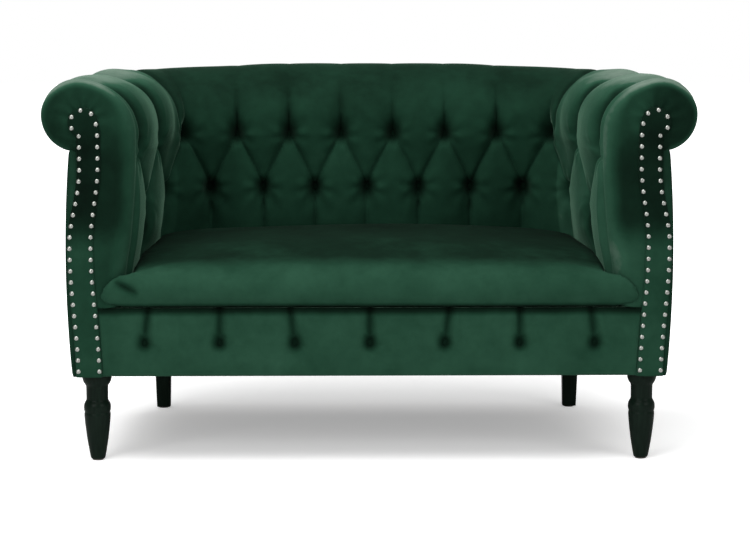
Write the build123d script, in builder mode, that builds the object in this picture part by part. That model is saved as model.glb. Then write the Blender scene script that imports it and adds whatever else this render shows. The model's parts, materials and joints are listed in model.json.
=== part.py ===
from build123d import *
import os
from math import ceil, cos, degrees, radians, sin, sqrt, tan

# A two-seat sofa with scrolled arms that flare towards the front, a tufted back and a sprung seat.
# Millimetres, X to the right as seen from the front, Y towards the back, Z up.
# The origin lies on the floor under the middle of the sofa.

# Overall sizes
overall_width = 1300.0
overall_depth = 720.0
overall_height = 770.0
frame_bottom = 176.0
seat_line = 312.0
flare = 4.0

# Arm and back wall, as offsets from the middle line of the rolled top edge
roll_radius = 72.0
pad_reach = 112.0
pad_foot_reach = 78.0
corner_radius = 220.0
wood = 24.0
wood_outer = 6.0
roll_tuck = 20.0
front_edge_radius = 12.0
fit = 0.3
cloth = 1.5

# Wooden frame
rail_height = 110.0
front_rail_thickness = 30.0
board_thickness = 20.0
board_skin = 4.0
board_inner = 40.0
board_margin = 14.0
top_rail_width = 80.0
top_rail_thickness = 22.0
top_rail_drop = 34.0
post_width = 45.0
stay_height = 45.0
stay_rise = 18.0
stretcher_height = 70.0
block_leg = 70.0
block_height = 50.0
block_turn = 8.0

# Seat
seat_overhang = 8.0
seat_clear = 3.0
seat_edge_rise = 86.0
seat_crown_rise = 106.0
seat_ear = 39.0
seat_wadding = 10.0
seat_round = 45.0
ear_share = 0.6
ear_end = 1.8
nose_low = 0.45
nose_high = 0.92
nose_slope = 0.06
seat_room_share = 0.7
spring_wire = 4.0
spring_pitch = 115.0
spring_count = 8
spring_wave = 21.0
spring_bend = 46.0
clip_length = 18.0
clip_width = 14.0
clip_height = 7.0
tie_wire = 3.0
tie_front = 0.23
tie_rear = 0.58

# Tufting
tuft_pitch = 114.0
arm_tuft_pitch = 262.0
side_tufts = 6
arm_tufts_from = 4.0
seam_tufts = 3.75
tuft_upper = 620.0
tuft_lower = 504.0
tuft_radius = 22.0
tuft_depth = 20.0
tuft_mouth = 1.5
roll_pleat_shares = (0.3, 0.56)
pleat_depth = 7.0
pleat_width = 12.0
pleat_lap = 1.5
button_radius = 10.0
button_height = 6.0
button_clear = 1.0
border_tuft_pitch = 150.0
border_tuft_count = 7
border_tuft_height = 240.0
border_tuft_radius = 16.0
border_tuft_depth = 8.0
border_crown = 8.0
border_recess = 6.0

# Outside panels and front facings
panel_edge = 8.0
panel_crown = 18.0
facing_thickness = 8.0
facing_width = 52.0
facing_bow = 14.0
facing_lap = 4.0
facing_waist = 0.52
facing_swing = 0.3
neck_width = 46.5
neck_lean = 2.5
bulb_radius = 29.5
bulb_lean = 5.0
bulb_drop = 15.0
bulb_shoulder = 27.0
bulb_hook = 41.0
nail_inset = 5.5
nail_pitch = 22.9
nail_radius = 5.2
nail_height = 3.0
nail_rim = 0.35
nail_crown = 0.45
shank_radius = 1.0
shank_length = 6.5

# Legs
front_leg_inset = 29.0
front_leg_top_radius = 29.6
rear_leg_angle = 53.0
rear_leg_top = 40.0
rear_leg_foot = 30.0
rear_leg_rake = 12.0
glide_height = 3.0
glide_radius = 11.0
bolt_radius = 4.0
bolt_in_leg = 34.0
bolt_in_rail = 30.0
dust_margin = 2.0

# Values worked out from the sizes above
front_y = -overall_depth / 2
face_y = front_y + facing_thickness + nail_height + fit
seat_front = face_y - seat_overhang
front_x = overall_width / 2 - roll_radius / cos(radians(flare))
back_line = overall_depth / 2 - roll_radius
front_leg_x = front_x - front_leg_inset
corner_x = front_x - (back_line - face_y) * tan(radians(flare))
corner_turn = 90.0 - flare
arc_x = corner_x - corner_radius * tan(radians(corner_turn / 2))
arc_y = back_line - corner_radius
roll_z = overall_height - roll_radius
pad_top_z = overall_height - pad_reach
tuck_z = roll_z - sqrt(roll_radius**2 - roll_tuck**2)
wood_inner = wood_outer - wood
pad_back = wood_inner - 2 * fit - cloth
top_rail_z = roll_z - top_rail_drop
rail_top = frame_bottom + rail_height
board_front = face_y + board_skin
board_back = board_front + board_thickness
rail_back = board_back + front_rail_thickness
tuft_bend = corner_radius - pad_reach
bend_run = tuft_bend * radians(corner_turn)
seam_run = seam_tufts * tuft_pitch
seam = 90.0 - degrees((seam_run - arc_x) / tuft_bend)
seam_gap = degrees(fit / corner_radius)
clip_z = rail_top - clip_height
wire_z = rail_top - clip_height / 2
deck_z = rail_top + fit

corner_axis = Axis((arc_x, arc_y, 0), (0, 0, 1))
along_arm = (sin(radians(flare)), -cos(radians(flare)))
off_arm = (cos(radians(flare)), sin(radians(flare)))
arm_end = (arc_x + corner_radius * off_arm[0], arc_y + corner_radius * off_arm[1])
arm_plane = Plane(
    origin=(arm_end[0], arm_end[1], 0),
    x_dir=(off_arm[0], off_arm[1], 0),
    z_dir=(along_arm[0], along_arm[1], 0),
)
back_plane = Plane(origin=(arc_x, back_line, 0), x_dir=(0, 1, 0), z_dir=(1, 0, 0))
arm_run = (arm_end[1] - face_y) / cos(radians(flare))

os.makedirs("parts", exist_ok=True)


def arm_point(distance, reach):
    """Plan point beside the right arm line, measured forward from where the corner starts."""
    x = arm_end[0] + distance * along_arm[0] + reach * off_arm[0]
    y = arm_end[1] + distance * along_arm[1] + reach * off_arm[1]
    return (x, y)


def arm_point_at(y, reach):
    """Plan point of the line offset from the right arm line that lies at depth y."""
    distance = (arm_end[1] + reach * off_arm[1] - y) / cos(radians(flare))
    return arm_point(distance, reach)


def half_width(y, reach):
    """Half width, at depth y, of the room inside the line offset from the wall line."""
    start = arc_y + (corner_radius + reach) * sin(radians(flare))
    if y <= start:
        return arm_point_at(y, reach)[0]
    rise = min(y - arc_y, corner_radius + reach)
    return arc_x + sqrt((corner_radius + reach) ** 2 - rise**2)


def pad_face_reach(height):
    """How far the inner face of the padding stands from the wall line at a height."""
    if height >= pad_top_z:
        return sqrt(pad_reach**2 - (height - pad_top_z) ** 2)
    drop = pad_top_z - seat_line
    lean = pad_reach - pad_foot_reach
    bow = (drop**2 + lean**2) / (2 * lean)
    return pad_reach - bow + sqrt(bow**2 - (pad_top_z - height) ** 2)


def tuft_plane(run, height, sink=0.0):
    """Plane on the padding face, run along the wall from the middle, facing into the padding."""
    side = 1 if run >= 0 else -1
    run = abs(run)
    if run <= arc_x:
        x, y, turn = run, back_line - pad_reach, 90.0
    elif run <= arc_x + bend_run:
        turn = 90.0 - degrees((run - arc_x) / tuft_bend)
        x = arc_x + tuft_bend * cos(radians(turn))
        y = arc_y + tuft_bend * sin(radians(turn))
    else:
        turn = flare
        x, y = arm_point(run - arc_x - bend_run, -pad_reach)
    outward = (cos(radians(turn)), sin(radians(turn)))
    deeper = pad_reach - pad_face_reach(height) + sink
    x = (x + outward[0] * deeper) * side
    y = y + outward[1] * deeper
    return Plane(origin=(x, y, height), z_dir=(outward[0] * side, outward[1], 0))


def ring_segment(inner, outer, start, end):
    """Face in plan between two offsets of the corner arc."""
    with BuildLine() as outline:
        far = CenterArc((arc_x, arc_y), corner_radius + outer, start, end - start)
        near = CenterArc((arc_x, arc_y), corner_radius + inner, start, end - start)
        Line(far @ 0, near @ 0)
        Line(far @ 1, near @ 1)
    make_face(outline.edges())


def arm_strip(inner, outer, front, end=0.0):
    """Face in plan of a straight strip along the right arm, cut square at depth front."""
    with BuildLine() as outline:
        Polyline(
            arm_point(end, inner),
            arm_point(end, outer),
            arm_point_at(front, outer),
            arm_point_at(front, inner),
            close=True,
        )
    make_face(outline.edges())


def back_strip(inner, outer, half):
    """Face in plan of a straight strip along the back."""
    with Locations((0, back_line + (inner + outer) / 2)):
        Rectangle(2 * half, outer - inner)


def mirrored(part, label):
    """The left hand copy of a right hand piece."""
    with BuildPart() as left:
        mirror(part, about=Plane.YZ)
    left.part.label = label
    return left.part


def save(part, label):
    """Name a piece and write it out."""
    part.label = label
    export_step(part, f"parts/{label}.step")


def save_pair(part, label):
    """Write a right hand piece and its left hand copy."""
    save(part, f"right_{label}")
    save(mirrored(part, f"left_{label}"), f"left_{label}")


# Base frame: a front rail behind the arm boards, side rails that follow the flare, bent corner
# rails and a back rail. The legs are bolted up into the front rail and the corner rails.
rear_leg_reach = (wood_inner + wood_outer) / 2
rear_leg_x = arc_x + (corner_radius + rear_leg_reach) * cos(radians(rear_leg_angle))
rear_leg_y = arc_y + (corner_radius + rear_leg_reach) * sin(radians(rear_leg_angle))
front_leg_y = (board_back + rail_back) / 2
front_rail_half = arm_point_at(rail_back, wood_outer)[0]

with BuildPart() as front_rail:
    with BuildSketch(Plane.XY.offset(frame_bottom)):
        with Locations((0, front_leg_y)):
            Rectangle(2 * front_rail_half, front_rail_thickness)
    extrude(amount=rail_height)
    with Locations((front_leg_x, front_leg_y, frame_bottom), (-front_leg_x, front_leg_y, frame_bottom)):
        Cylinder(
            bolt_radius + fit,
            bolt_in_rail + fit,
            align=(Align.CENTER, Align.CENTER, Align.MIN),
            mode=Mode.SUBTRACT,
        )
save(front_rail.part, "front_rail")

with BuildPart() as side_rail:
    with BuildSketch(Plane.XY.offset(frame_bottom)):
        arm_strip(wood_inner, wood_outer, rail_back)
    extrude(amount=rail_height)
save_pair(side_rail.part, "side_rail")

with BuildPart() as corner_rail:
    with BuildSketch(Plane.XY.offset(frame_bottom)):
        ring_segment(wood_inner, wood_outer, flare, 90)
    extrude(amount=rail_height)
    with Locations((rear_leg_x, rear_leg_y, frame_bottom)):
        Cylinder(
            bolt_radius + fit,
            bolt_in_rail + fit,
            align=(Align.CENTER, Align.CENTER, Align.MIN),
            mode=Mode.SUBTRACT,
        )
save_pair(corner_rail.part, "corner_rail")

with BuildPart() as back_rail:
    with BuildSketch(Plane.XY.offset(frame_bottom)):
        back_strip(wood_inner, wood_outer, arc_x)
    extrude(amount=rail_height)
save(back_rail.part, "back_rail")

with BuildPart() as centre_stretcher:
    with BuildSketch(Plane.XY.offset(frame_bottom)):
        with Locations((0, (rail_back + back_line + wood_inner) / 2)):
            Rectangle(wood, back_line + wood_inner - rail_back)
    extrude(amount=stretcher_height)
save(centre_stretcher.part, "centre_stretcher")

# Glue blocks: three-cornered in front, bent to the corner rails at the back.
front_corner = arm_point_at(rail_back, wood_inner)
block_back = (
    front_corner[0] - block_leg * along_arm[0],
    front_corner[1] - block_leg * along_arm[1],
)
with BuildPart() as glue_block:
    with BuildSketch(Plane.XY.offset(frame_bottom)):
        with BuildLine():
            Polyline(front_corner, block_back, (front_corner[0] - block_leg, rail_back), close=True)
        make_face()
    extrude(amount=block_height)
with BuildPart() as rear_block:
    with BuildSketch(Plane.XY.offset(frame_bottom)):
        ring_segment(
            wood_inner - fit - block_leg / 2,
            wood_inner - fit,
            rear_leg_angle - block_turn,
            rear_leg_angle + block_turn,
        )
    extrude(amount=block_height)
with BuildPart() as glue_blocks:
    add(glue_block.part)
    mirror(glue_block.part, about=Plane.YZ)
    add(rear_block.part)
    mirror(rear_block.part, about=Plane.YZ)
save(glue_blocks.part, "glue_blocks")

# Arm boards: scroll-shaped front boards with a foot that comes forward below the seat line.
board_outer_x = arm_point_at(board_back, wood_outer)[0]
board_inner_x = front_x - board_inner
board_mid_x = (board_outer_x + board_inner_x) / 2
board_width = board_outer_x - board_inner_x
front_plane = Plane.XZ.offset(-face_y)
board_plane = Plane.XZ.offset(-board_front)


def board_outline(grow, foot):
    """Front outline of the arm board, grown all round, from the height foot upwards."""
    with Locations((board_mid_x, (foot + roll_z) / 2)):
        Rectangle(board_width + 2 * grow, roll_z - foot)
    with Locations((front_x, roll_z)):
        Circle(roll_radius - board_margin + grow)


with BuildPart() as arm_board:
    with BuildSketch(board_plane):
        board_outline(0, frame_bottom)
    extrude(amount=-board_thickness)
    with BuildSketch(board_plane):
        with Locations((board_mid_x, (frame_bottom + seat_line - fit) / 2)):
            Rectangle(board_width, seat_line - fit - frame_bottom)
    extrude(amount=board_skin)
save_pair(arm_board.part, "arm_board")

# Posts and rails of the wall above the base frame.
with BuildPart() as arm_post:
    with BuildSketch(Plane.XY.offset(rail_top)):
        with BuildLine():
            Polyline(
                arm_point(0, wood_inner),
                arm_point(0, wood_outer),
                arm_point(post_width, wood_outer),
                arm_point(post_width, wood_inner),
                close=True,
            )
        make_face()
    extrude(amount=top_rail_z - rail_top)
save_pair(arm_post.part, "arm_post")

with BuildPart() as back_post:
    with BuildSketch(Plane.XY.offset(rail_top)):
        with Locations((arc_x - post_width / 2, back_line + (wood_inner + wood_outer) / 2)):
            Rectangle(post_width, wood)
    extrude(amount=top_rail_z - rail_top)
save_pair(back_post.part, "back_post")

with BuildPart() as arm_stay:
    with BuildSketch(Plane.XY.offset(seat_line + stay_rise)):
        arm_strip(wood_inner, wood_outer, board_back, post_width)
    extrude(amount=stay_height)
save_pair(arm_stay.part, "arm_stay")

with BuildPart() as back_stay:
    with BuildSketch(Plane.XY.offset(seat_line + stay_rise)):
        back_strip(wood_inner, wood_outer, arc_x - post_width)
    extrude(amount=stay_height)
save(back_stay.part, "back_stay")

with BuildPart() as arm_top_rail:
    with BuildSketch(Plane.XY.offset(top_rail_z)):
        arm_strip(-top_rail_width / 2, top_rail_width / 2, board_back)
    extrude(amount=top_rail_thickness)
save_pair(arm_top_rail.part, "arm_top_rail")

with BuildPart() as corner_top_rail:
    with BuildSketch(Plane.XY.offset(top_rail_z)):
        ring_segment(-top_rail_width / 2, top_rail_width / 2, flare, 90)
    extrude(amount=top_rail_thickness)
save_pair(corner_top_rail.part, "corner_top_rail")

with BuildPart() as back_top_rail:
    with BuildSketch(Plane.XY.offset(top_rail_z)):
        back_strip(-top_rail_width / 2, top_rail_width / 2, arc_x)
    extrude(amount=top_rail_thickness)
save(back_top_rail.part, "back_top_rail")

# Hessian stretched over the inner side of the wall frame, behind the padding.
hessian_outer = wood_inner - fit
hessian_inner = hessian_outer - cloth
hessian_height = top_rail_z - fit - seat_line

with BuildPart() as arm_hessian:
    with BuildSketch(Plane.XY.offset(seat_line)):
        arm_strip(hessian_inner, hessian_outer, board_back + fit)
        ring_segment(hessian_inner, hessian_outer, flare, seam)
    extrude(amount=hessian_height)
save_pair(arm_hessian.part, "arm_hessian")

with BuildPart() as right_half:
    with BuildSketch(Plane.XY.offset(seat_line)):
        back_strip(hessian_inner, hessian_outer, arc_x)
        ring_segment(hessian_inner, hessian_outer, seam + seam_gap, 90)
    extrude(amount=hessian_height)
with BuildPart() as back_hessian:
    add(right_half.part)
    mirror(right_half.part, about=Plane.YZ)
save(back_hessian.part, "back_hessian")


# Padding of the arms and the back: foam under velvet, rolled over the top rail and tucked under it.
def pad_section():
    """Cross-section of the padding: leaning face, shoulder, outward roll, hollow for the frame."""
    half_drop = (pad_top_z - seat_line) / 2
    face_mid = (-pad_face_reach(pad_top_z - half_drop), pad_top_z - half_drop)
    shoulder = (-pad_reach * sin(radians(45)), pad_top_z + pad_reach * cos(radians(45)))
    rail_half = top_rail_width / 2 + fit
    rail_over = top_rail_z + top_rail_thickness + fit
    rail_under = top_rail_z - fit
    with BuildLine() as outline:
        ThreePointArc((-pad_foot_reach, seat_line), face_mid, (-pad_reach, pad_top_z))
        ThreePointArc((-pad_reach, pad_top_z), shoulder, (0, overall_height))
        ThreePointArc(
            (0, overall_height),
            (roll_radius * sin(radians(50)), roll_z + roll_radius * cos(radians(50))),
            (roll_radius, roll_z),
        )
        ThreePointArc(
            (roll_radius, roll_z),
            (roll_radius * sin(radians(125)), roll_z + roll_radius * cos(radians(125))),
            (roll_tuck, tuck_z),
        )
        Polyline(
            (roll_tuck, tuck_z),
            (wood_outer + fit, tuck_z),
            (wood_outer + fit, rail_under),
            (rail_half, rail_under),
            (rail_half, rail_over),
            (-rail_half, rail_over),
            (-rail_half, rail_under),
            (pad_back, rail_under),
            (pad_back, seat_line),
            (-pad_foot_reach, seat_line),
        )
    make_face(outline.edges())


def cut_tuft(run, height):
    """Sew one tuft into the padding: a funnel as deep as the button sits."""
    with Locations(tuft_plane(run, height, -tuft_depth / 2)):
        Cone(
            tuft_radius * tuft_mouth,
            button_radius + button_clear,
            tuft_depth * tuft_mouth,
            align=(Align.CENTER, Align.CENTER, Align.MIN),
            mode=Mode.SUBTRACT,
        )


def cut_pleat(first, second):
    """Fold a pleat into the padding along a straight line between two places on its face."""
    start = tuft_plane(*first)
    end = tuft_plane(*second)
    line = end.origin - start.origin
    inward = (start.z_dir + end.z_dir).normalized()
    foot = start.origin - line.normalized() * pleat_lap
    with BuildSketch(Plane(origin=foot, x_dir=inward, z_dir=line)) as fold:
        with BuildLine():
            Polyline(
                (pleat_depth, 0),
                (-pleat_depth, pleat_width),
                (-pleat_depth, -pleat_width),
                close=True,
            )
        make_face()
    extrude(fold.sketch, amount=line.length + 2 * pleat_lap, mode=Mode.SUBTRACT)


# Form of the seat, which its foam and its cover share and the arm pads make room for.
def seat_section(y, inset, ear, rise_edge, rise_crown):
    """Cross-section of the seat at one depth: flat under, drawn-in sides, crowned top."""
    low = half_width(y, -(pad_foot_reach + seat_clear)) - inset + ear
    edge_reach = pad_face_reach(seat_line + rise_edge) + seat_clear
    high = half_width(y, -edge_reach) - inset + ear
    edge = seat_line + rise_edge - inset
    crown = seat_line + rise_crown - inset
    with BuildSketch(Plane.XZ.offset(-y)) as section:
        with BuildLine():
            ThreePointArc((high, edge), (0, crown), (-high, edge))
            Polyline((-high, edge), (-low, seat_line), (low, seat_line), (high, edge))
        make_face()
    return section.sketch.face()


def seat_block(inset):
    """Ruled loft of the seat from its rounded front edge, with ears before the arms, to the bend."""
    bend = corner_radius - pad_face_reach(seat_line + seat_edge_rise) - seat_clear
    nose = seat_front + inset
    steps = []
    for turn in (0, 20, 40, 55, 70, 90):
        step = seat_round * (1 - cos(radians(turn)))
        ear = ear_share + (1 - ear_share) * sin(radians(2 * turn))
        rise = nose_low + (nose_high - nose_low) * sin(radians(turn))
        steps.append((nose + step, ear, rise))
    for step in (1.25, 1.5, ear_end, 2.3):
        ear = ear_share * (ear_end - min(step, ear_end))
        rise = nose_high + nose_slope * (step - 1)
        steps.append((nose + seat_round * step, ear, rise))
    steps.append((arc_y, 0.0, 1.0))
    for turn in (12, 24, 36, 47, 57, 66, 73):
        steps.append((arc_y + (bend - inset) * sin(radians(turn)), 0.0, 1.0 - turn / 900))
    sections = []
    for y, ear, rise in steps:
        rises = (seat_edge_rise * rise, seat_crown_rise * rise)
        sections.append(seat_section(y, inset, seat_ear * ear, *rises))
    loft(sections, ruled=True)


pleat_heights = [tuft_upper, pad_top_z] + [pad_top_z + pad_reach * share for share in roll_pleat_shares]
pleat_foot = seat_line + seat_edge_rise
wall_end = arc_x + bend_run + arm_run


def tuft_run(number):
    """Run along the wall of a tuft counted from the middle: close on the back, wider on the arms."""
    near = max(-arm_tufts_from, min(number, arm_tufts_from))
    return near * tuft_pitch + (number - near) * arm_tuft_pitch


upper_numbers = [index + 0.5 for index in range(side_tufts)]
lower_numbers = [float(index) for index in range(side_tufts)]


def tufts_between(low, high):
    """Tufts of both rows whose run lies between two limits, as pairs of run and height."""
    upper = [(tuft_run(number), tuft_upper) for number in upper_numbers]
    lower = [(tuft_run(number), tuft_lower) for number in lower_numbers]
    return [(run, height) for run, height in upper + lower if low <= run < high]


def sew(low, high, overlap):
    """Cut every pleat and tuft of one side of the wall between two runs."""
    for number in upper_numbers:
        run = tuft_run(number)
        if low - overlap < run < high + overlap:
            for low_end, high_end in zip(pleat_heights, pleat_heights[1:]):
                cut_pleat((run, low_end), (run, high_end))
    for number in lower_numbers:
        run = tuft_run(number)
        if low - overlap < run < high + overlap:
            cut_pleat((run, pleat_foot), (run, tuft_lower))
            for step in (-0.5, 0.5):
                cut_pleat((run, tuft_lower), (tuft_run(number + step), tuft_upper))
    for run, height in tufts_between(low, high):
        cut_tuft(run, height)


with BuildPart() as seat_room:
    seat_block(-seat_clear * seat_room_share)

with BuildPart() as arm_pad:
    with BuildSketch(arm_plane) as arm_section:
        pad_section()
    extrude(amount=arm_run + roll_radius)
    revolve(arm_section.sketch, axis=corner_axis, revolution_arc=seam - flare)
    split(bisect_by=front_plane, keep=Keep.BOTTOM)
    front_edges = arm_pad.faces().sort_by(Axis.Y)[0].edges()
    fillet(front_edges.filter_by(GeomType.LINE, reverse=True), front_edge_radius)
    with BuildSketch(front_plane):
        with Locations((front_x, roll_z)):
            Circle(roll_radius - board_margin)
    extrude(amount=-board_skin)
    with BuildSketch(board_plane.offset(fit)):
        board_outline(fit, seat_line - fit)
    extrude(amount=-board_thickness - 2 * fit, mode=Mode.SUBTRACT)
    add(seat_room.part, mode=Mode.SUBTRACT)
    sew(seam_run, wall_end, tuft_pitch / 2)
save_pair(arm_pad.part, "arm_pad")

with BuildPart() as half_back_pad:
    with BuildSketch(back_plane) as back_section:
        pad_section()
    extrude(amount=-arc_x)
    revolve(back_section.sketch, axis=corner_axis, revolution_arc=-(90.0 - seam - seam_gap))
    sew(0, seam_run, tuft_pitch / 2)
with BuildPart() as back_pad:
    add(half_back_pad.part)
    mirror(half_back_pad.part, about=Plane.YZ)
save(back_pad.part, "back_pad")


# Covered buttons at the bottom of the tufts.
def button(plane):
    """A domed button with its back on a plane that faces into the padding."""
    with Locations(plane):
        with Locations((0, 0, -fit)):
            Cylinder(
                button_radius,
                button_height * 0.5,
                align=(Align.CENTER, Align.CENTER, Align.MAX),
            )
        with Locations((0, 0, -fit - button_height * 0.5)):
            Cone(
                button_radius * 0.55,
                button_radius,
                button_height * 0.5,
                align=(Align.CENTER, Align.CENTER, Align.MAX),
            )


arm_places = tufts_between(seam_run, wall_end)
with BuildPart() as arm_buttons:
    for run, height in arm_places:
        button(tuft_plane(run, height, tuft_depth))
save_pair(arm_buttons.part, "arm_buttons")

back_places = tufts_between(0, seam_run)
with BuildPart() as back_buttons:
    for run, height in back_places:
        button(tuft_plane(run, height, tuft_depth))
        if run > 0:
            button(tuft_plane(-run, height, tuft_depth))
save(back_buttons.part, "back_buttons")


# Outside panels: velvet over card and thin wadding, from under the frame up to the roll.
def panel_section():
    """Cross-section of an outside panel, flat against the frame and gently crowned outside."""
    inside = wood_outer + fit
    foot = frame_bottom
    head = tuck_z - fit
    with BuildLine() as outline:
        ThreePointArc(
            (inside + panel_edge, foot),
            (inside + panel_crown, (foot + head) / 2),
            (inside + panel_edge, head),
        )
        Polyline((inside + panel_edge, head), (inside, head), (inside, foot), (inside + panel_edge, foot))
    make_face(outline.edges())


with BuildPart() as outside_arm:
    with BuildSketch(arm_plane) as outside_section:
        panel_section()
    extrude(amount=arm_run + roll_radius)
    revolve(outside_section.sketch, axis=corner_axis, revolution_arc=seam - flare)
    split(bisect_by=front_plane, keep=Keep.BOTTOM)
save_pair(outside_arm.part, "outside_arm_panel")

with BuildPart() as half_outside_back:
    with BuildSketch(back_plane) as outside_back_section:
        panel_section()
    extrude(amount=-arc_x)
    revolve(outside_back_section.sketch, axis=corner_axis, revolution_arc=-(90.0 - seam - seam_gap))
with BuildPart() as outside_back:
    add(half_outside_back.part)
    mirror(half_outside_back.part, about=Plane.YZ)
save(outside_back.part, "outside_back_panel")


# Arm facings: narrow padded strips on the arm fronts, bowed outwards, with a bulb in the scroll.
def facing_line(inset):
    """Open line up the inner edge, round the bulb and down the outer edge of a facing."""
    foot_x = board_inner_x - facing_lap
    neck_x = foot_x - neck_lean
    bulb_x = foot_x + facing_width / 2 + bulb_lean
    bulb_z = roll_z - bulb_drop
    neck_z = bulb_z - bulb_radius
    waist_z = frame_bottom + (neck_z - frame_bottom) * facing_waist
    swing_x = neck_x + (foot_x + facing_bow - neck_x) * facing_swing
    bulb = bulb_radius - inset
    inner = [
        (foot_x, frame_bottom),
        (foot_x + facing_bow / 2, (frame_bottom + waist_z) / 2),
        (foot_x + facing_bow, waist_z),
        (swing_x, (waist_z + neck_z) / 2),
        (neck_x, neck_z),
    ]
    widths = [facing_width, facing_width, facing_width, (facing_width + neck_width) / 2, neck_width]
    outer = [(x + width, z) for (x, z), width in zip(inner, widths)]
    inner_edge = Spline(*[(x + inset, z) for x, z in inner])
    round_in = ThreePointArc(
        inner_edge @ 1,
        (bulb_x - bulb * cos(radians(bulb_shoulder)), bulb_z + bulb * sin(radians(bulb_shoulder))),
        (bulb_x, bulb_z + bulb),
    )
    round_out = ThreePointArc(
        round_in @ 1,
        (bulb_x + bulb * cos(radians(45)), bulb_z + bulb * sin(radians(45))),
        (bulb_x + bulb, bulb_z),
    )
    outer_edge = [(x - inset, z) for x, z in reversed(outer)]
    ThreePointArc(
        round_out @ 1,
        (bulb_x + bulb * cos(radians(bulb_hook)), bulb_z - bulb * sin(radians(bulb_hook))),
        outer_edge[0],
    )
    Spline(*outer_edge)


with BuildLine(front_plane.offset(fit + facing_thickness)) as nail_line:
    facing_line(nail_inset)
nail_wire = nail_line.wire()
nail_total = ceil(nail_wire.length / nail_pitch)
nail_places = [nail_wire @ ((index + 0.5) / nail_total) for index in range(nail_total)]
nail_planes = [Plane(origin=place, z_dir=(0, -1, 0)) for place in nail_places]

with BuildPart() as arm_facing:
    with BuildSketch(front_plane.offset(fit)):
        with BuildLine() as facing_edge:
            facing_line(0)
            Line(facing_edge.line @ 0, facing_edge.line @ 1)
        make_face()
    extrude(amount=facing_thickness)
    with Locations(nail_planes):
        Cylinder(
            shank_radius + fit / 2,
            shank_length + fit,
            align=(Align.CENTER, Align.CENTER, Align.MAX),
            mode=Mode.SUBTRACT,
        )
save_pair(arm_facing.part, "arm_facing")

with BuildPart() as nails:
    with Locations(nail_planes):
        Cylinder(shank_radius, shank_length, align=(Align.CENTER, Align.CENTER, Align.MAX))
        Cylinder(nail_radius, nail_height * nail_rim, align=(Align.CENTER, Align.CENTER, Align.MIN))
        with Locations((0, 0, nail_height * nail_rim)):
            Cone(
                nail_radius,
                nail_radius * nail_crown,
                nail_height * (1 - nail_rim),
                align=(Align.CENTER, Align.CENTER, Align.MIN),
            )
save_pair(nails.part, "facing_nails")

# Front border: the tufted band under the seat, between the two arm boards.
border_half = board_inner_x - fit
border_back = board_back - fit
border_edge = face_y + border_recess
border_foot = frame_bottom
border_head = seat_line - fit
border_middle = (border_tuft_count - 1) / 2
border_runs = [(index - border_middle) * border_tuft_pitch for index in range(border_tuft_count)]
border_front = border_edge - border_crown

with BuildPart() as front_border:
    with BuildSketch(Plane.YZ.offset(-border_half)):
        with BuildLine():
            ThreePointArc(
                (border_edge, border_foot),
                (border_front, (border_foot + border_head) / 2),
                (border_edge, border_head),
            )
            Polyline(
                (border_edge, border_head),
                (border_back, border_head),
                (border_back, border_foot),
                (border_edge, border_foot),
            )
        make_face()
    extrude(amount=2 * border_half)
    for run in border_runs:
        place = (run, border_front, border_tuft_height)
        with BuildSketch(Plane(origin=place, x_dir=(1, 0, 0), z_dir=(0, 0, 1))):
            with BuildLine():
                Polyline(
                    (0, pleat_depth),
                    (pleat_width, -pleat_lap),
                    (-pleat_width, -pleat_lap),
                    close=True,
                )
            make_face()
        extrude(amount=border_head - border_tuft_height, mode=Mode.SUBTRACT)
        with Locations(Plane(origin=place, z_dir=(0, 1, 0))):
            Cone(
                border_tuft_radius,
                button_radius + button_clear,
                border_tuft_depth + fit,
                align=(Align.CENTER, Align.CENTER, Align.MIN),
                mode=Mode.SUBTRACT,
            )
save(front_border.part, "front_border")

with BuildPart() as border_buttons:
    for run in border_runs:
        place = (run, border_front + border_tuft_depth + fit, border_tuft_height)
        button(Plane(origin=place, z_dir=(0, 1, 0)))
save(border_buttons.part, "border_buttons")

# Seat springs: zigzag wires from clips on the front rail to clips on the back and corner rails.
spring_middle = (spring_count - 1) / 2
spring_runs = [(index - spring_middle) * spring_pitch for index in range(spring_count)]
spring_front = rail_back + fit


def spring_end(x):
    """Depth where the clip of a spring at x meets the inner face of the rear rail."""
    if abs(x) + clip_width / 2 <= arc_x:
        return back_line + wood_inner - fit
    aside = max(0.0, abs(x) + clip_width / 2 - arc_x)
    return arc_y + sqrt((corner_radius + wood_inner - fit) ** 2 - aside**2)


def spring_points(x):
    """Corner points of one zigzag spring, straight where it enters its clips."""
    start = spring_front
    end = spring_end(x)
    lead = clip_length * 1.5
    bends = max(4, 2 * int((end - start - 2 * lead) / spring_bend / 2))
    step = (end - start - 2 * lead) / bends
    points = [(x, start), (x, start + lead)]
    for bend in range(bends):
        side = spring_wave if bend % 2 else -spring_wave
        points.append((x + side, start + lead + (bend + 0.5) * step))
    return points + [(x, end - lead), (x, end)]


with BuildPart() as seat_springs:
    for x in spring_runs:
        with BuildLine(Plane.XY.offset(wire_z)) as spring_path:
            FilletPolyline(*spring_points(x), radius=spring_wire * 1.5)
        with BuildSketch(Plane(origin=(x, spring_front, wire_z), x_dir=(1, 0, 0), z_dir=(0, 1, 0))):
            Circle(spring_wire / 2)
        sweep(path=spring_path.wire())
save(seat_springs.part, "seat_springs")

with BuildPart() as spring_clips:
    for x in spring_runs:
        for y in (spring_front + clip_length / 2, spring_end(x) - clip_length / 2):
            with Locations((x, y, clip_z)):
                Box(clip_width, clip_length, clip_height, align=(Align.CENTER, Align.CENTER, Align.MIN))
                with Locations(Location((0, 0, clip_height / 2), (90, 0, 0))):
                    Cylinder(spring_wire / 2 + fit, clip_length * 2, mode=Mode.SUBTRACT)
save(spring_clips.part, "spring_clips")

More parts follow.
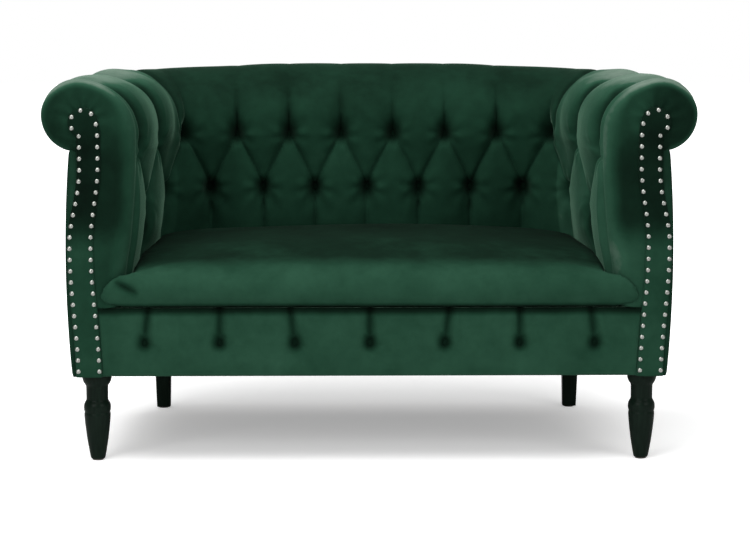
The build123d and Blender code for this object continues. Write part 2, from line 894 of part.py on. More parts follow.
# Tie wires under the springs, side to side.
tie_span = back_line + wood_inner - rail_back
tie_rows = [rail_back + tie_span * tie_front, rail_back + tie_span * tie_rear]
tie_z = wire_z - spring_wire / 2 - tie_wire / 2 - fit
tie_half = spring_runs[-1] + spring_wave
with BuildPart() as tie_wires:
    for y in tie_rows:
        with Locations(Location((0, y, tie_z), (0, 90, 0))):
            Cylinder(tie_wire / 2, 2 * tie_half)
save(tie_wires.part, "tie_wires")


def seat_plan(y_front, near):
    """Plan face inside the line offset from the wall line, with its front edge at a depth."""
    depth = corner_radius + near
    with BuildLine() as outline:
        right_front = arm_point_at(y_front, near)
        right_end = (arc_x + depth * off_arm[0], arc_y + depth * off_arm[1])
        left_front = (-right_front[0], right_front[1])
        left_end = (-right_end[0], right_end[1])
        right_arc = CenterArc((arc_x, arc_y), depth, flare, corner_turn)
        left_arc = CenterArc((-arc_x, arc_y), depth, 90, corner_turn)
        Line(right_arc @ 1, left_arc @ 0)
        Line(left_end, left_front)
        Line(left_front, right_front)
        Line(right_front, right_end)
    make_face(outline.edges())


# Deck cloth over the springs and a felt pad over the deck.
deck_reach = wood_inner - pad_foot_reach / 2
felt_z = deck_z + cloth + fit
with BuildPart() as spring_deck:
    with BuildSketch(Plane.XY.offset(deck_z)):
        seat_plan(board_back + fit, deck_reach)
    extrude(amount=cloth)
save(spring_deck.part, "spring_deck")

with BuildPart() as seat_felt:
    with BuildSketch(Plane.XY.offset(felt_z)):
        seat_plan(board_back + fit, deck_reach)
    extrude(amount=seat_line - fit - felt_z)
save(seat_felt.part, "seat_felt")


# Seat: a crowned block of foam that swells over the border, and its wadded velvet cover.
with BuildPart() as seat_foam:
    seat_block(seat_wadding)
save(seat_foam.part, "seat_foam")

with BuildPart() as seat_cover:
    seat_block(0)
    add(seat_foam.part, mode=Mode.SUBTRACT)
save(seat_cover.part, "seat_cover")

# Legs: turned in front, square and raked at the back, with studs into the frame and nylon glides.
neck_low = frame_bottom * 0.70
neck_high = frame_bottom * 0.865
ring_low = frame_bottom * 0.575
ring_high = frame_bottom * 0.67
leg_top = front_leg_top_radius

with BuildPart() as front_leg:
    with BuildSketch(Plane.XZ):
        with BuildLine():
            foot_arc = ThreePointArc(
                (leg_top * 0.49, glide_height),
                (leg_top * 0.73, frame_bottom * 0.25),
                (leg_top * 0.90, frame_bottom * 0.535),
            )
            Polyline(foot_arc @ 1, (leg_top * 0.865, frame_bottom * 0.555), (leg_top * 0.89, ring_low))
            ThreePointArc(
                (leg_top * 0.89, ring_low),
                (leg_top * 0.92, (ring_low + ring_high) / 2),
                (leg_top * 0.84, ring_high),
            )
            Polyline((leg_top * 0.84, ring_high), (leg_top * 0.735, neck_low), (leg_top * 0.745, neck_high))
            ThreePointArc(
                (leg_top * 0.745, neck_high),
                (leg_top * 0.93, frame_bottom * 0.91),
                (leg_top, frame_bottom * 0.955),
            )
            Polyline(
                (leg_top, frame_bottom * 0.955),
                (leg_top, frame_bottom),
                (0, frame_bottom),
                (0, glide_height),
                (leg_top * 0.49, glide_height),
            )
        make_face()
    revolve(axis=Axis.Z)
    with Locations((0, 0, frame_bottom)):
        Cylinder(
            bolt_radius + fit,
            bolt_in_leg + fit,
            align=(Align.CENTER, Align.CENTER, Align.MAX),
            mode=Mode.SUBTRACT,
        )
with BuildPart() as right_front_leg:
    with Locations((front_leg_x, front_leg_y, 0)):
        add(front_leg.part)
save_pair(right_front_leg.part, "front_leg")

rear_foot_x = rear_leg_x
rear_foot_y = rear_leg_y + rear_leg_rake
with BuildPart() as rear_leg:
    with BuildSketch(Plane.XY.offset(glide_height)):
        with Locations((rear_foot_x, rear_foot_y)):
            Rectangle(rear_leg_foot, rear_leg_foot)
    with BuildSketch(Plane.XY.offset(frame_bottom)):
        with Locations((rear_leg_x, rear_leg_y)):
            Rectangle(rear_leg_top, rear_leg_top)
    loft()
    with Locations((rear_leg_x, rear_leg_y, frame_bottom)):
        Cylinder(
            bolt_radius + fit,
            bolt_in_leg + fit,
            align=(Align.CENTER, Align.CENTER, Align.MAX),
            mode=Mode.SUBTRACT,
        )
save_pair(rear_leg.part, "rear_leg")

leg_tops = [
    (side * x, y) for side in (1, -1) for x, y in ((front_leg_x, front_leg_y), (rear_leg_x, rear_leg_y))
]
leg_feet = [
    (side * x, y) for side in (1, -1) for x, y in ((front_leg_x, front_leg_y), (rear_foot_x, rear_foot_y))
]
with BuildPart() as leg_studs:
    for x, y in leg_tops:
        with Locations((x, y, frame_bottom - bolt_in_leg)):
            Cylinder(
                bolt_radius,
                bolt_in_leg + bolt_in_rail,
                align=(Align.CENTER, Align.CENTER, Align.MIN),
            )
save(leg_studs.part, "leg_studs")

with BuildPart() as foot_glides:
    for x, y in leg_feet:
        with Locations((x, y, 0)):
            Cylinder(glide_radius, glide_height, align=(Align.CENTER, Align.CENTER, Align.MIN))
save(foot_glides.part, "foot_glides")

# Dust cover: thin black cloth stapled under the frame, notched at the front corners for the turned
# legs and cut away round the rear legs.
dust_notch = front_leg_top_radius + dust_margin
with BuildPart() as dust_cover:
    with BuildSketch(Plane.XY.offset(frame_bottom - fit)):
        seat_plan(board_back + fit, wood_outer - dust_margin)
        for side, outward in ((1, Align.MIN), (-1, Align.MAX)):
            with Locations((side * (front_leg_x - dust_notch), front_leg_y + dust_notch)):
                Rectangle(4 * dust_notch, 4 * dust_notch, align=(outward, Align.MAX), mode=Mode.SUBTRACT)
        with Locations((rear_leg_x, rear_leg_y), (-rear_leg_x, rear_leg_y)):
            Rectangle(
                rear_leg_top + 3 * dust_margin,
                rear_leg_top + 3 * dust_margin,
                mode=Mode.SUBTRACT,
            )
    extrude(amount=-cloth)
save(dust_cover.part, "dust_cover")
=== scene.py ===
import json
import math
import bpy
import numpy as np
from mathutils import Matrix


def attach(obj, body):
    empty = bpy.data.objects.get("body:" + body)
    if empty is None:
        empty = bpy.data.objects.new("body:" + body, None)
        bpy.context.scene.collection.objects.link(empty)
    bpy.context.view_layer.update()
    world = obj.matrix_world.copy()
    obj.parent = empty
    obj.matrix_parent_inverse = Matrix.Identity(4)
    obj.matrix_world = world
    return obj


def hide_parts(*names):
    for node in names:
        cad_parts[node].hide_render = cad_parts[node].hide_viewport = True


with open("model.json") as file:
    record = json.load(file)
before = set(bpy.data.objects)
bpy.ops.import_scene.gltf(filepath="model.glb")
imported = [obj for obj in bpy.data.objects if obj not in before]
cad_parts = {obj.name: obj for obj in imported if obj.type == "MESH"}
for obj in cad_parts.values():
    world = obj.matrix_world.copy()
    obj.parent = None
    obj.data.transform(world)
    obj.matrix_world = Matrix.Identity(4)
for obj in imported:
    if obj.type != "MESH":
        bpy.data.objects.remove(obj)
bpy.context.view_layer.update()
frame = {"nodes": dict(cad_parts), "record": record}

scene = bpy.context.scene
sides = ((-1, "left"), (1, "right"))


# Shared tools
# Meshes are made from numpy grids of points, and materials from nodes. Lengths are in metres, in the
# frame of the CAD part: x to the right, y to the back and z up.
def add_piece(name, points, faces):
    """A smooth-shaded mesh object at the origin from an (n, 3) array and a list of face arrays."""
    mesh = bpy.data.meshes.new(name)
    rows = [face for block in faces for face in np.asarray(block).tolist()]
    mesh.from_pydata(np.asarray(points, float).tolist(), [], rows)
    mesh.polygons.foreach_set("use_smooth", np.ones(len(mesh.polygons), bool))
    mesh.update()
    piece = bpy.data.objects.new(name, mesh)
    scene.collection.objects.link(piece)
    return piece


def grid_quads(rows, columns, wrap_rows=False, wrap_columns=False):
    """Quads of a rows by columns grid of points, optionally joined end to end either way."""
    r = np.arange(rows if wrap_rows else rows - 1)[:, None]
    c = np.arange(columns if wrap_columns else columns - 1)[None, :]
    r2, c2 = (r + 1) % rows, (c + 1) % columns
    corners = (r * columns + c, r * columns + c2, r2 * columns + c2, r2 * columns + c)
    return np.stack(corners, axis=-1).reshape(-1, 4)


def tube_piece(name, grid, flip=False):
    """A piece from a grid of closed rings, with one face over the first ring and one over the last."""
    rows, columns = grid.shape[:2]
    ring = np.arange(columns)[None, :]
    faces = [grid_quads(rows, columns, wrap_columns=True), ring[:, ::-1], (rows - 1) * columns + ring]
    if flip:
        faces = [block[:, ::-1] for block in faces]
    return add_piece(name, grid.reshape(-1, 3), faces)


def joined(*coordinates):
    """Points from arrays of their coordinates, broadcast to one shape."""
    return np.stack(np.broadcast_arrays(*coordinates), axis=-1)


def dress(piece, material, slot, *nodes, fill=None):
    """Give a piece its material and body, and hide the CAD nodes it stands for. The slot is not used.
    The fill is not used.
    """
    piece.data.materials.append(material)
    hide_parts(*nodes)
    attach(piece, "root")


def ease(start, end, value):
    """Ease from 0 at start to 1 at end."""
    t = np.clip((value - start) / (end - start), 0, 1)
    return t * t * (3 - 2 * t)


def fall(start, end, value):
    """Ease from 1 at start to 0 at end."""
    return 1 - ease(start, end, value)


def hill(foot, top, edge, end, value):
    """Ease from 0 at foot to 1 at top, and from edge back to 0 at end."""
    return ease(foot, top, value) * fall(edge, end, value)


def bell(value, width, power=2):
    """A hump of 1 at 0 that falls off over a width, with a sharper tip for a lower power."""
    return np.exp(-((np.abs(value) / width) ** power))


def feed(tree, node, inputs):
    """Set inputs of a node: those given as a socket are linked, the others take the value."""
    for name, value in inputs.items():
        if isinstance(value, bpy.types.NodeSocket):
            tree.links.new(value, node.inputs[name])
        else:
            node.inputs[name].default_value = value


def add_node(tree, kind, inputs, **settings):
    """A new node of a kind with its settings and inputs."""
    node = tree.nodes.new(kind)
    for name, value in settings.items():
        setattr(node, name, value)
    feed(tree, node, inputs)
    return node


def new_material(name):
    """A node material, as (material, tree, shader)."""
    material = bpy.data.materials.new(name)
    material.use_nodes = True
    return material, material.node_tree, material.node_tree.nodes["Principled BSDF"]


def object_coordinates(tree, scale=(1, 1, 1)):
    """Object coordinates stretched by a scale along each axis."""
    place = add_node(tree, "ShaderNodeTexCoord", {})
    mapping = add_node(tree, "ShaderNodeMapping", {"Vector": place.outputs["Object"], "Scale": scale})
    return mapping.outputs["Vector"]


def calculated(tree, operation, *values):
    """Result of an operation on numbers and sockets."""
    node = add_node(tree, "ShaderNodeMath", dict(enumerate(values)), operation=operation)
    return node.outputs[0]


def noise(tree, vector, scale, detail, rough=0.5):
    """Value of a noise pattern of a given scale."""
    inputs = {"Vector": vector, "Scale": scale, "Detail": detail, "Roughness": rough}
    return add_node(tree, "ShaderNodeTexNoise", inputs).outputs["Fac"]


def colour_between(tree, value, stops):
    """Colour that a value between 0 and 1 takes on a ramp of (position, colour) stops."""
    ramp = add_node(tree, "ShaderNodeValToRGB", {"Fac": value})
    while len(ramp.color_ramp.elements) < len(stops):
        ramp.color_ramp.elements.new(0.5)
    for element, (position, colour) in zip(ramp.color_ramp.elements, stops):
        element.position = position
        element.color = (*colour, 1.0)
    return ramp.outputs["Color"]


def add_bump(tree, shader, value, strength, distance, below=None):
    """Small relief from a value, on top of an earlier relief if one is given."""
    inputs = {"Height": value, "Strength": strength, "Distance": distance}
    bump = add_node(tree, "ShaderNodeBump", inputs)
    if below is not None:
        feed(tree, bump, {"Normal": below})
    feed(tree, shader, {"Normal": bump.outputs["Normal"]})
    return bump.outputs["Normal"]


# Front legs
# Turned hardwood legs, stained nearly black under a semi-gloss lacquer. Each has a rounded collar under
# the frame, a plain neck, a full ring over a shallow groove, and a long taper to a small foot.
leg_height = 0.176
glide_height = 0.003
front_leg_x = 0.5488
front_leg_y = -0.3097
front_height_radius = np.array([
    (0.0030, 0.0134), (0.0050, 0.0148), (0.0100, 0.0158), (0.0200, 0.0176), (0.0350, 0.0201),
    (0.0440, 0.0215), (0.0600, 0.0235), (0.0750, 0.0251), (0.0880, 0.0262), (0.0935, 0.0265),
    (0.0955, 0.0262), (0.0970, 0.0255), (0.0988, 0.0255), (0.1005, 0.0262), (0.1030, 0.0269),
    (0.1080, 0.0272), (0.1130, 0.0267), (0.1165, 0.0256), (0.1195, 0.0238), (0.1220, 0.0222),
    (0.1245, 0.0218), (0.1400, 0.0219), (0.1515, 0.0221), (0.1535, 0.0231), (0.1565, 0.0254),
    (0.1600, 0.0274), (0.1640, 0.0288), (0.1680, 0.0295), (0.1740, 0.0296), (0.1760, 0.0293),
])
edge_wear = [0.1, 0.23, 0.34, 0.23, 0.1]


def stained_wood(name):
    """Near-black stain that lets a little long grain through, under a thin lacquer."""
    material, tree, shader = new_material(name)
    grain = noise(tree, object_coordinates(tree, (60, 60, 4)), 3.0, 6.0, 0.6)
    gloss = add_node(tree, "ShaderNodeMapRange", {"Value": grain, "To Min": 0.30, "To Max": 0.48})
    stops = [(0.3, (0.0022, 0.0062, 0.0038)), (0.75, (0.0056, 0.0130, 0.0084))]
    feed(tree, shader, {
        "Base Color": colour_between(tree, grain, stops),
        "Roughness": gloss.outputs["Result"],
        "Specular IOR Level": 0.04,
        "Coat Weight": 0.045,
        "Coat Roughness": 0.20,
    })
    add_bump(tree, shader, grain, 0.12, 0.0006)
    return material


def turned_leg(name, heights, radii, centre):
    """A profile of radius against height carried round a vertical axis, closed at both ends."""
    angle = np.linspace(0, 2 * np.pi, 72, endpoint=False)
    x = centre[0] + radii[:, None] * np.cos(angle)
    y = centre[1] + radii[:, None] * np.sin(angle)
    return tube_piece(name, joined(x, y, heights[:, None]))


leg_stain = stained_wood("leg_stain")
front_heights = np.linspace(glide_height, leg_height, 174)
front_radii = np.interp(front_heights, front_height_radius[:, 0], front_height_radius[:, 1])
front_radii = np.convolve(np.pad(front_radii, 2, mode="edge"), edge_wear, mode="valid")
for side, name in sides:
    leg = turned_leg(f"turned_leg_{name}", front_heights, front_radii, (side * front_leg_x, front_leg_y))
    dress(leg, leg_stain, "stained_wood", f"{name}_front_leg")


# Rear legs
# Square sawn legs of the same stained wood, tapered and raked back so that the sofa doesn't tip.
# Their long edges are eased with a hand plane.
rear_leg_x = 0.4569
rear_top_y = 0.2389
rear_foot_y = 0.2509
rear_top_size = 0.040
rear_foot_size = 0.030
squareness = 9


def raked_leg(name, centre_x):
    """A rounded square carried in a straight line from the foot to the top, growing on the way."""
    angle = np.linspace(0, 2 * np.pi, 64, endpoint=False)
    corner = np.abs(np.cos(angle)) ** squareness + np.abs(np.sin(angle)) ** squareness
    along = np.linspace(0, 1, 48)[:, None]
    reach = (rear_foot_size + (rear_top_size - rear_foot_size) * along) / 2 * corner ** (-1 / squareness)
    x = centre_x + reach * np.cos(angle)
    y = rear_foot_y + (rear_top_y - rear_foot_y) * along + reach * np.sin(angle)
    z = glide_height + (leg_height - glide_height) * along
    return tube_piece(name, joined(x, y, z))


for side, name in sides:
    leg = raked_leg(f"raked_leg_{name}", side * rear_leg_x)
    dress(leg, leg_stain, "stained_wood", f"{name}_rear_leg")


# Wooden frame, springs and cloths inside
# Raw hardwood and plywood rails and posts, oiled spring wire, jute cloth, felt and nylon glides.
# They are the CAD solids themselves, all but the glides out of sight under the padding.
def grained(name, stretch, pattern, stops, relief, looks):
    """A material whose colour and relief follow one noise pattern, stretched along the axes."""
    material, tree, shader = new_material(name)
    grain = noise(tree, object_coordinates(tree, stretch), *pattern)
    feed(tree, shader, {"Base Color": colour_between(tree, grain, stops), **looks})
    add_bump(tree, shader, grain, *relief)
    return material


def raw_wood(name):
    """Pale planed wood with stretched grain and a few darker streaks."""
    stops = [(0.25, (0.50, 0.34, 0.19)), (0.8, (0.74, 0.57, 0.37))]
    return grained(name, (6, 40, 40), (4.0, 5.0, 0.6), stops, (0.2, 0.0008), {"Roughness": 0.7})


def coarse_cloth(name, dark, light, threads):
    """Plain weave: two crossed sets of threads, darker in the gaps."""
    material, tree, shader = new_material(name)
    vector = object_coordinates(tree, (threads, threads, threads))
    inputs = {"Vector": vector, "Scale": 1.0, "Distortion": 0.6}
    sets = [add_node(tree, "ShaderNodeTexWave", inputs, bands_direction=way) for way in ("X", "Z")]
    weave = calculated(tree, "MULTIPLY", *(wave.outputs["Fac"] for wave in sets))
    stops = [(0.0, dark), (0.7, light)]
    feed(tree, shader, {"Base Color": colour_between(tree, weave, stops), "Roughness": 0.9})
    add_bump(tree, shader, weave, 0.4, 0.0006)
    return material


def worn_metal(name, dark, light, rough):
    """Drawn wire or stamped metal with faint streaks in its colour."""
    looks = {"Metallic": 1.0, "Roughness": rough}
    return grained(name, (1, 1, 1), (240.0, 3.0), [(0.3, dark), (0.7, light)], (0.08, 0.0003), looks)


def moulded_nylon(name):
    """Dark brown moulded nylon with a fine scuffed grain."""
    stops = [(0.3, (0.05, 0.04, 0.035)), (0.7, (0.09, 0.075, 0.065))]
    return grained(name, (1, 1, 1), (400.0, 4.0), stops, (0.15, 0.0004), {"Roughness": 0.55})


inner_finishes = {
    "frame_wood": raw_wood("frame_wood"),
    "spring_steel": worn_metal("spring_steel", (0.30, 0.30, 0.31), (0.48, 0.48, 0.49), 0.38),
    "hessian": coarse_cloth("hessian", (0.26, 0.19, 0.10), (0.62, 0.50, 0.32), 900.0),
    "felt": coarse_cloth("felt", (0.40, 0.40, 0.39), (0.58, 0.58, 0.56), 260.0),
    "nylon": moulded_nylon("nylon"),
}
for entry in frame["record"]["subparts"]:
    finish = inner_finishes.get(entry["material_slot"])
    if finish is not None:
        node = frame["nodes"][entry["node"]]
        node.data.materials.clear()
        node.data.materials.append(finish)


# Outside panels
# Velvet stretched smooth over card and thin wadding on the outside of the arms and the back, tucked
# under the roll at the top and stapled under the frame. A closed seam joins them at each rear corner.
flare = math.radians(4.0)
corner_radius = 0.220
corner_turn = math.pi / 2 - flare
back_line = 0.288
face_y = -0.3487
arc_x = 0.32815
arc_y = back_line - corner_radius
pad_reach = 0.112
tuft_pitch = 0.114
tuft_bend = corner_radius - pad_reach
seam_run = 3.75 * tuft_pitch
arm_end = (arc_x + corner_radius * math.cos(flare), arc_y + corner_radius * math.sin(flare))
arm_start = arc_x + tuft_bend * corner_turn
wall_end = arm_start + (arm_end[1] - face_y) / math.cos(flare)
panel_foot = 0.1755
panel_head = 0.6292
panel_inside = 0.0063
panel_gap = 0.0002
panel_step = 0.005
lip_depth = 0.0034
lip_width = 0.014


def wall_frame(run):
    """Plan of the wall line for runs measured from the middle: points, outward and forward directions.

    The line is straight behind the seat, turns through an arc at each corner and then runs straight
    along the flared arm. Runs are measured on the tufted face, so the arc angle is run over tuft_bend.
    """
    side = np.where(run < 0, -1.0, 1.0)
    length = np.abs(run)
    angle = np.pi / 2 - np.clip((length - arc_x) / tuft_bend, 0, corner_turn)
    beyond = np.maximum(length - arm_start, 0)
    x = np.minimum(length, arc_x) + corner_radius * np.cos(angle) + beyond * np.sin(flare)
    y = arc_y + corner_radius * np.sin(angle) - beyond * np.cos(flare)
    line = joined(side * x, y)
    outward = joined(side * np.cos(angle), np.sin(angle))
    forward = joined(side * np.sin(angle), -np.cos(angle))
    return line, outward, forward


def arm_share(run, end):
    """How far a run lies along the straight of the arm, from 0 at the corner to 1 at the end."""
    return np.clip((np.abs(run) - arm_start) / (end - arm_start), 0, 1)


def velvet(name, seed, sheen):
    """Emerald velvet: pile from nearly black to pale by a painted shading, in uneven patches, with fine
    fibres.

    The painted shading is an attribute of each point that stands in for how light falls on the pile:
    painted shade in folds, funnels and under edges, and painted highlight on crests, up to the pale end
    of the ramp.
    """
    material, tree, shader = new_material(name)
    place = {0: object_coordinates(tree), 1: (seed, 0.37 * seed, 0.71 * seed)}
    shifted = add_node(tree, "ShaderNodeVectorMath", place, operation="ADD").outputs[0]
    patches = noise(tree, shifted, 9.0, 4.0, 0.62)
    fibres = noise(tree, shifted, 900.0, 2.0, 0.6)
    brushed = noise(tree, shifted, 42.0, 3.0, 0.6)
    painted_shading = add_node(tree, "ShaderNodeAttribute", {}, attribute_name="painted_shading").outputs["Fac"]
    tone = -0.10
    for value, share in ((patches, 0.30), (brushed, 0.12), (painted_shading, 0.78)):
        tone = calculated(tree, "MULTIPLY_ADD", value, share, tone)
    pile_and_shading = colour_between(tree, tone, [
        (0.10, (0.0008, 0.0042, 0.0022)),
        (0.30, (0.0028, 0.0135, 0.0072)),
        (0.50, (0.0080, 0.034, 0.0190)),
        (0.70, (0.0185, 0.062, 0.0370)),
        (0.92, (0.135, 0.185, 0.150)),
    ])
    feed(tree, shader, {
        "Base Color": pile_and_shading,
        "Roughness": 0.9,
        "Specular IOR Level": 0.05,
        "Sheen Weight": sheen,
        "Sheen Roughness": 0.28,
        "Sheen Tint": (0.38, 0.72, 0.50, 1.0),
    })
    relief = add_bump(tree, shader, brushed, 0.12, 0.004)
    add_bump(tree, shader, fibres, 0.22, 0.0008, relief)
    return material


def paint_shading(piece, painted_shading):
    """Store the painted shading of every point, from 0 for painted shade to 1 for painted highlight."""
    values = np.broadcast_to(np.clip(painted_shading, 0, 1), len(piece.data.vertices))
    layer = piece.data.attributes.new("painted_shading", "FLOAT", "POINT")
    layer.data.foreach_set("value", np.ascontiguousarray(values, dtype=np.float32))
    return piece


def outside_cover(name, start, end, front_cut):
    """Crowned panel over a stretch of the wall: an arc-shaped bulge of height, carried along the wall.

    The face bulges by the sine of its height; its edges roll back to the frame, and the sheet is
    closed by a flat inner side. At the front end it is cut in the plane of the arm fronts and turned
    in by a thin lip over the arm board, up to the facing.
    """
    runs = np.linspace(start, end, max(24, int(abs(end - start) / panel_step)))
    line, outward, forward = wall_frame(runs)
    rise = np.concatenate([[0.0, 0.0], np.linspace(0, 1, 58), [1.0, 1.0]])
    order = np.arange(len(rise))
    edge = np.minimum(1, np.minimum(order, order[::-1]) / 3.0)
    bulge = 0.0088 + 0.0105 * np.sin(np.pi * rise) ** 0.8
    reach = panel_inside + bulge * np.sin(edge * np.pi / 2)
    reach[[0, -1]] = panel_inside
    height = panel_foot + (panel_head - panel_foot) * rise
    plan = line[:, None, :] + outward[:, None, :] * reach[:, None]
    if front_cut:
        slide = reach * math.tan(flare) * arm_share(runs, wall_end)[:, None]
        plan = plan + forward[:, None, :] * slide[..., None]
    points = joined(plan[..., 0], plan[..., 1], height)
    if front_cut:
        lip = np.stack([points[-1]] * 3)
        lip[:2, :, 1] = lip[:2, :, 1] + lip_depth
        lip[1:, [0, -1], 0] = lip[1:, [0, -1], 0] - math.copysign(lip_width, end)
        points = np.concatenate([points[:-1], lip])
    return paint_shading(tube_piece(name, points, start < end), 0.38)


outer_velvet = velvet("velvet_outside", 3.0, 0.15)
for side, name in sides:
    start = side * (seam_run + panel_gap)
    cover = outside_cover(f"outside_arm_{name}", start, side * wall_end, True)
    dress(cover, outer_velvet, "velvet", f"{name}_outside_arm_panel", fill=0.9)
cover = outside_cover("outside_back", -seam_run, seam_run, False)
dress(cover, outer_velvet, "velvet", "outside_back_panel", fill=0.9)


# Tufted padding of the arms and the back
# Thick foam and wadding under velvet, rolled outwards over the top rail. The velvet is drawn in by two
# rows of buttons and folded into pleats between them, so it stands up in diamonds and long pipes.
seat_line = 0.312
top_height = 0.770
roll_radius = 0.072
roll_height = top_height - roll_radius
roll_tuck = 0.020
roll_underside = 0.6290
pad_top = top_height - pad_reach
pad_back = -0.021
pad_lip = 0.008
pad_foot_reach = 0.078
face_lean = pad_reach - pad_foot_reach
face_bow = ((pad_top - seat_line) ** 2 + face_lean**2) / (2 * face_lean)
hidden_length = 1.2
upper_row = 0.620
lower_row = 0.504
arm_tuft_pitch = 0.262
arm_tufts_from = 4.0 * tuft_pitch
last_tuft = 5.75
puff_height = 0.019
tuft_sink = 0.027
arm_lap = 0.011
edge_round_inner = 0.036
edge_round_roll = 0.016
edge_round_hidden = 0.004
front_spine_x = 0.5645
front_spine_y = face_y - 0.0025
front_spine_top = 0.688
scroll_z = 0.690
steps_per_tuft = 44
arm_blend = 0.06


def face_reach(height):
    """Reach of the padding's face at a height: a large arc that leans back to the seat."""
    return face_bow - pad_reach - np.sqrt(face_bow**2 - (pad_top - height) ** 2)


def padding_profile():
    """Closed cross-section of the padding as reach, height, normals and length along the surface.

    Over the face, the shoulder is a quarter circle and the top a smaller circle that turns outwards
    and under. The hidden side is flat.
    """
    z_face = np.linspace(seat_line, pad_top, 140, endpoint=False)
    face = joined(face_reach(z_face), z_face)
    n_face = (face + (pad_reach - face_bow, -pad_top)) / face_bow
    shoulder_turn = np.linspace(np.pi, np.pi / 2, 54, endpoint=False)
    n_shoulder = joined(np.cos(shoulder_turn), np.sin(shoulder_turn))
    shoulder = n_shoulder * pad_reach + (0, pad_top)
    roll_turn = np.linspace(np.pi / 2, -math.acos(roll_tuck / roll_radius), 64)
    n_roll = joined(np.cos(roll_turn), np.sin(roll_turn))
    roll = n_roll * roll_radius + (0, roll_height)
    levels = (roll_underside, 0.5200, 0.4200, seat_line)
    hidden = np.array([(pad_lip, roll_underside)] + [(pad_back, level) for level in levels])
    section = np.concatenate([face, shoulder, roll, hidden])
    normal = np.concatenate([n_face, n_shoulder, n_roll, np.zeros_like(hidden)])
    length = np.concatenate([
        z_face,
        pad_top + pad_reach * (np.pi - shoulder_turn),
        pad_top + pad_reach * np.pi / 2 + roll_radius * (np.pi / 2 - roll_turn),
        np.full(len(hidden), hidden_length),
    ])
    return section, normal, length


def tuft_number(run):
    """Place along the wall counted in tufts: one to each pitch on the back, wider apart on the arms."""
    near = np.clip(run, -arm_tufts_from, arm_tufts_from)
    return near / tuft_pitch + (run - near) / arm_tuft_pitch


def tuft_run(number):
    """Run along the wall of a place counted in tufts."""
    near = np.clip(number, -arm_tufts_from / tuft_pitch, arm_tufts_from / tuft_pitch)
    return near * tuft_pitch + (number - near) * arm_tuft_pitch


def tufted_relief(run, length):
    """Height of the velvet over the flat padding, and a mask of painted shade by how deep in a fold it
    lies, for runs and lengths.

    Between the rows, curved pleats split the face into panels: one kind hangs from the roll and ends
    at a lower button, the other rises from the seat and ends at an upper button. Across a panel the
    height is a flattened half ellipse that falls to the pleat, scaled by the panel's width there.
    Each button adds a deep funnel drawn out into a slit, upwards in the upper row and downwards in
    the lower row. The pleats fade out over the roll of the back and run on up the roll of the arms,
    where each panel laps forwards over the one before it: it rises in a short step towards the front
    and falls off slowly behind.
    """
    place = tuft_number(run)
    rise = np.clip((length - lower_row) / (upper_row - lower_row), 0, 1)
    aside = np.abs(place - np.round(place))
    half = 0.5 * rise**1.25
    hanging = aside <= half
    width = 2 * np.where(hanging, half, 0.5 - half)
    offset = np.where(hanging, aside, 0.5 - aside)
    t = np.clip(offset / np.maximum(0.5 * width, 1e-4), 0, 1)
    dome = (1 - t**2.2 + 0.006) ** 0.62
    panel = np.floor(np.where(hanging, np.round(place) * 2, np.floor(place) * 2 + 1))
    uneven = 1 + 0.10 * np.sin(panel * 12.9898 + 4.1) + 0.05 * np.sin(panel * 5.31)
    full = puff_height * (0.25 + 0.75 * width**0.8)
    on_arm = ease(seam_run, seam_run + arm_blend, np.abs(run))
    fade = 1 - (0.92 - 0.60 * on_arm) * ease(upper_row + 0.02, 0.770 + 0.06 * on_arm, length)
    fade = fade * fall(0.86, 0.96, length)
    fade = fade * (0.50 + 0.50 * ease(0.33, 0.45, length))
    height = full * uneven * dome * fade
    fold_and_shade = 0.25 * t**12 * fade
    for row, phase, way in ((upper_row, 0.5, 1.0), (lower_row, 0.0, -1.0)):
        number = np.round(place - phase) + phase
        inside = np.abs(number) < last_tuft
        beside = run - tuft_run(number)
        beyond = (length - row) * way
        distance = np.hypot(beside, np.where(beyond > 0, beyond * 0.55, beyond * 0.90))
        funnel = bell(distance, 0.0145)
        reach = 0.060 + (0.12 * on_arm if way > 0 else 0.0)
        reach = reach * (1 + 0.25 * np.sin(number * 7.7 + way))
        ending = fall(0.4 * reach, reach, beyond)
        slit = bell(beside, 0.0055 + 0.0025 * on_arm, 1.4) * ease(-0.01, 0.012, beyond) * ending
        around = np.arctan2(beyond, beside)
        gathers = 0.0012 * np.cos(7 * around + number * 5) * bell(distance - 0.032, 0.015)
        drawn = np.maximum(funnel, (0.35 + 0.40 * on_arm) * slit)
        height = height + inside * (gathers - tuft_sink * drawn)
        # Painted shade in each funnel and along each slit, wider on the arms.
        shade = bell(beside, 0.0050 + 0.011 * on_arm, 1.4) * ease(-0.012, 0.010, beyond) * ending
        fold_and_shade = np.maximum(fold_and_shade, inside * np.maximum(funnel**1.2, (0.6 + 0.3 * on_arm) * shade))
    for row, way, numbers in ((upper_row, 1, (4.5, 5.5)), (lower_row, -1, (4.0, 5.0))):
        beyond = (length - row) * way
        end = ease(0.74, 0.81, length) if way > 0 else ease(0.05, 0.11, beyond)
        zone = on_arm * ease(-0.03, 0.03, beyond) * (1 - end)
        for number in numbers:
            behind = tuft_run(number) - np.abs(run)
            lap = hill(-0.004, 0.026, 0.03, 0.20, behind) * zone
            height = height + arm_lap * lap
            # Painted shade on the step at the front of each lap.
            fold_and_shade = np.maximum(fold_and_shade, 0.7 * zone * bell(behind - 0.007, 0.008))
    # A shallow groove at each rear corner seam, with painted shade along it.
    seam = bell(np.abs(run) - seam_run, 0.005) * ease(0.60, 0.68, length)
    return height - 0.005 * seam, np.maximum(fold_and_shade, 0.5 * seam)


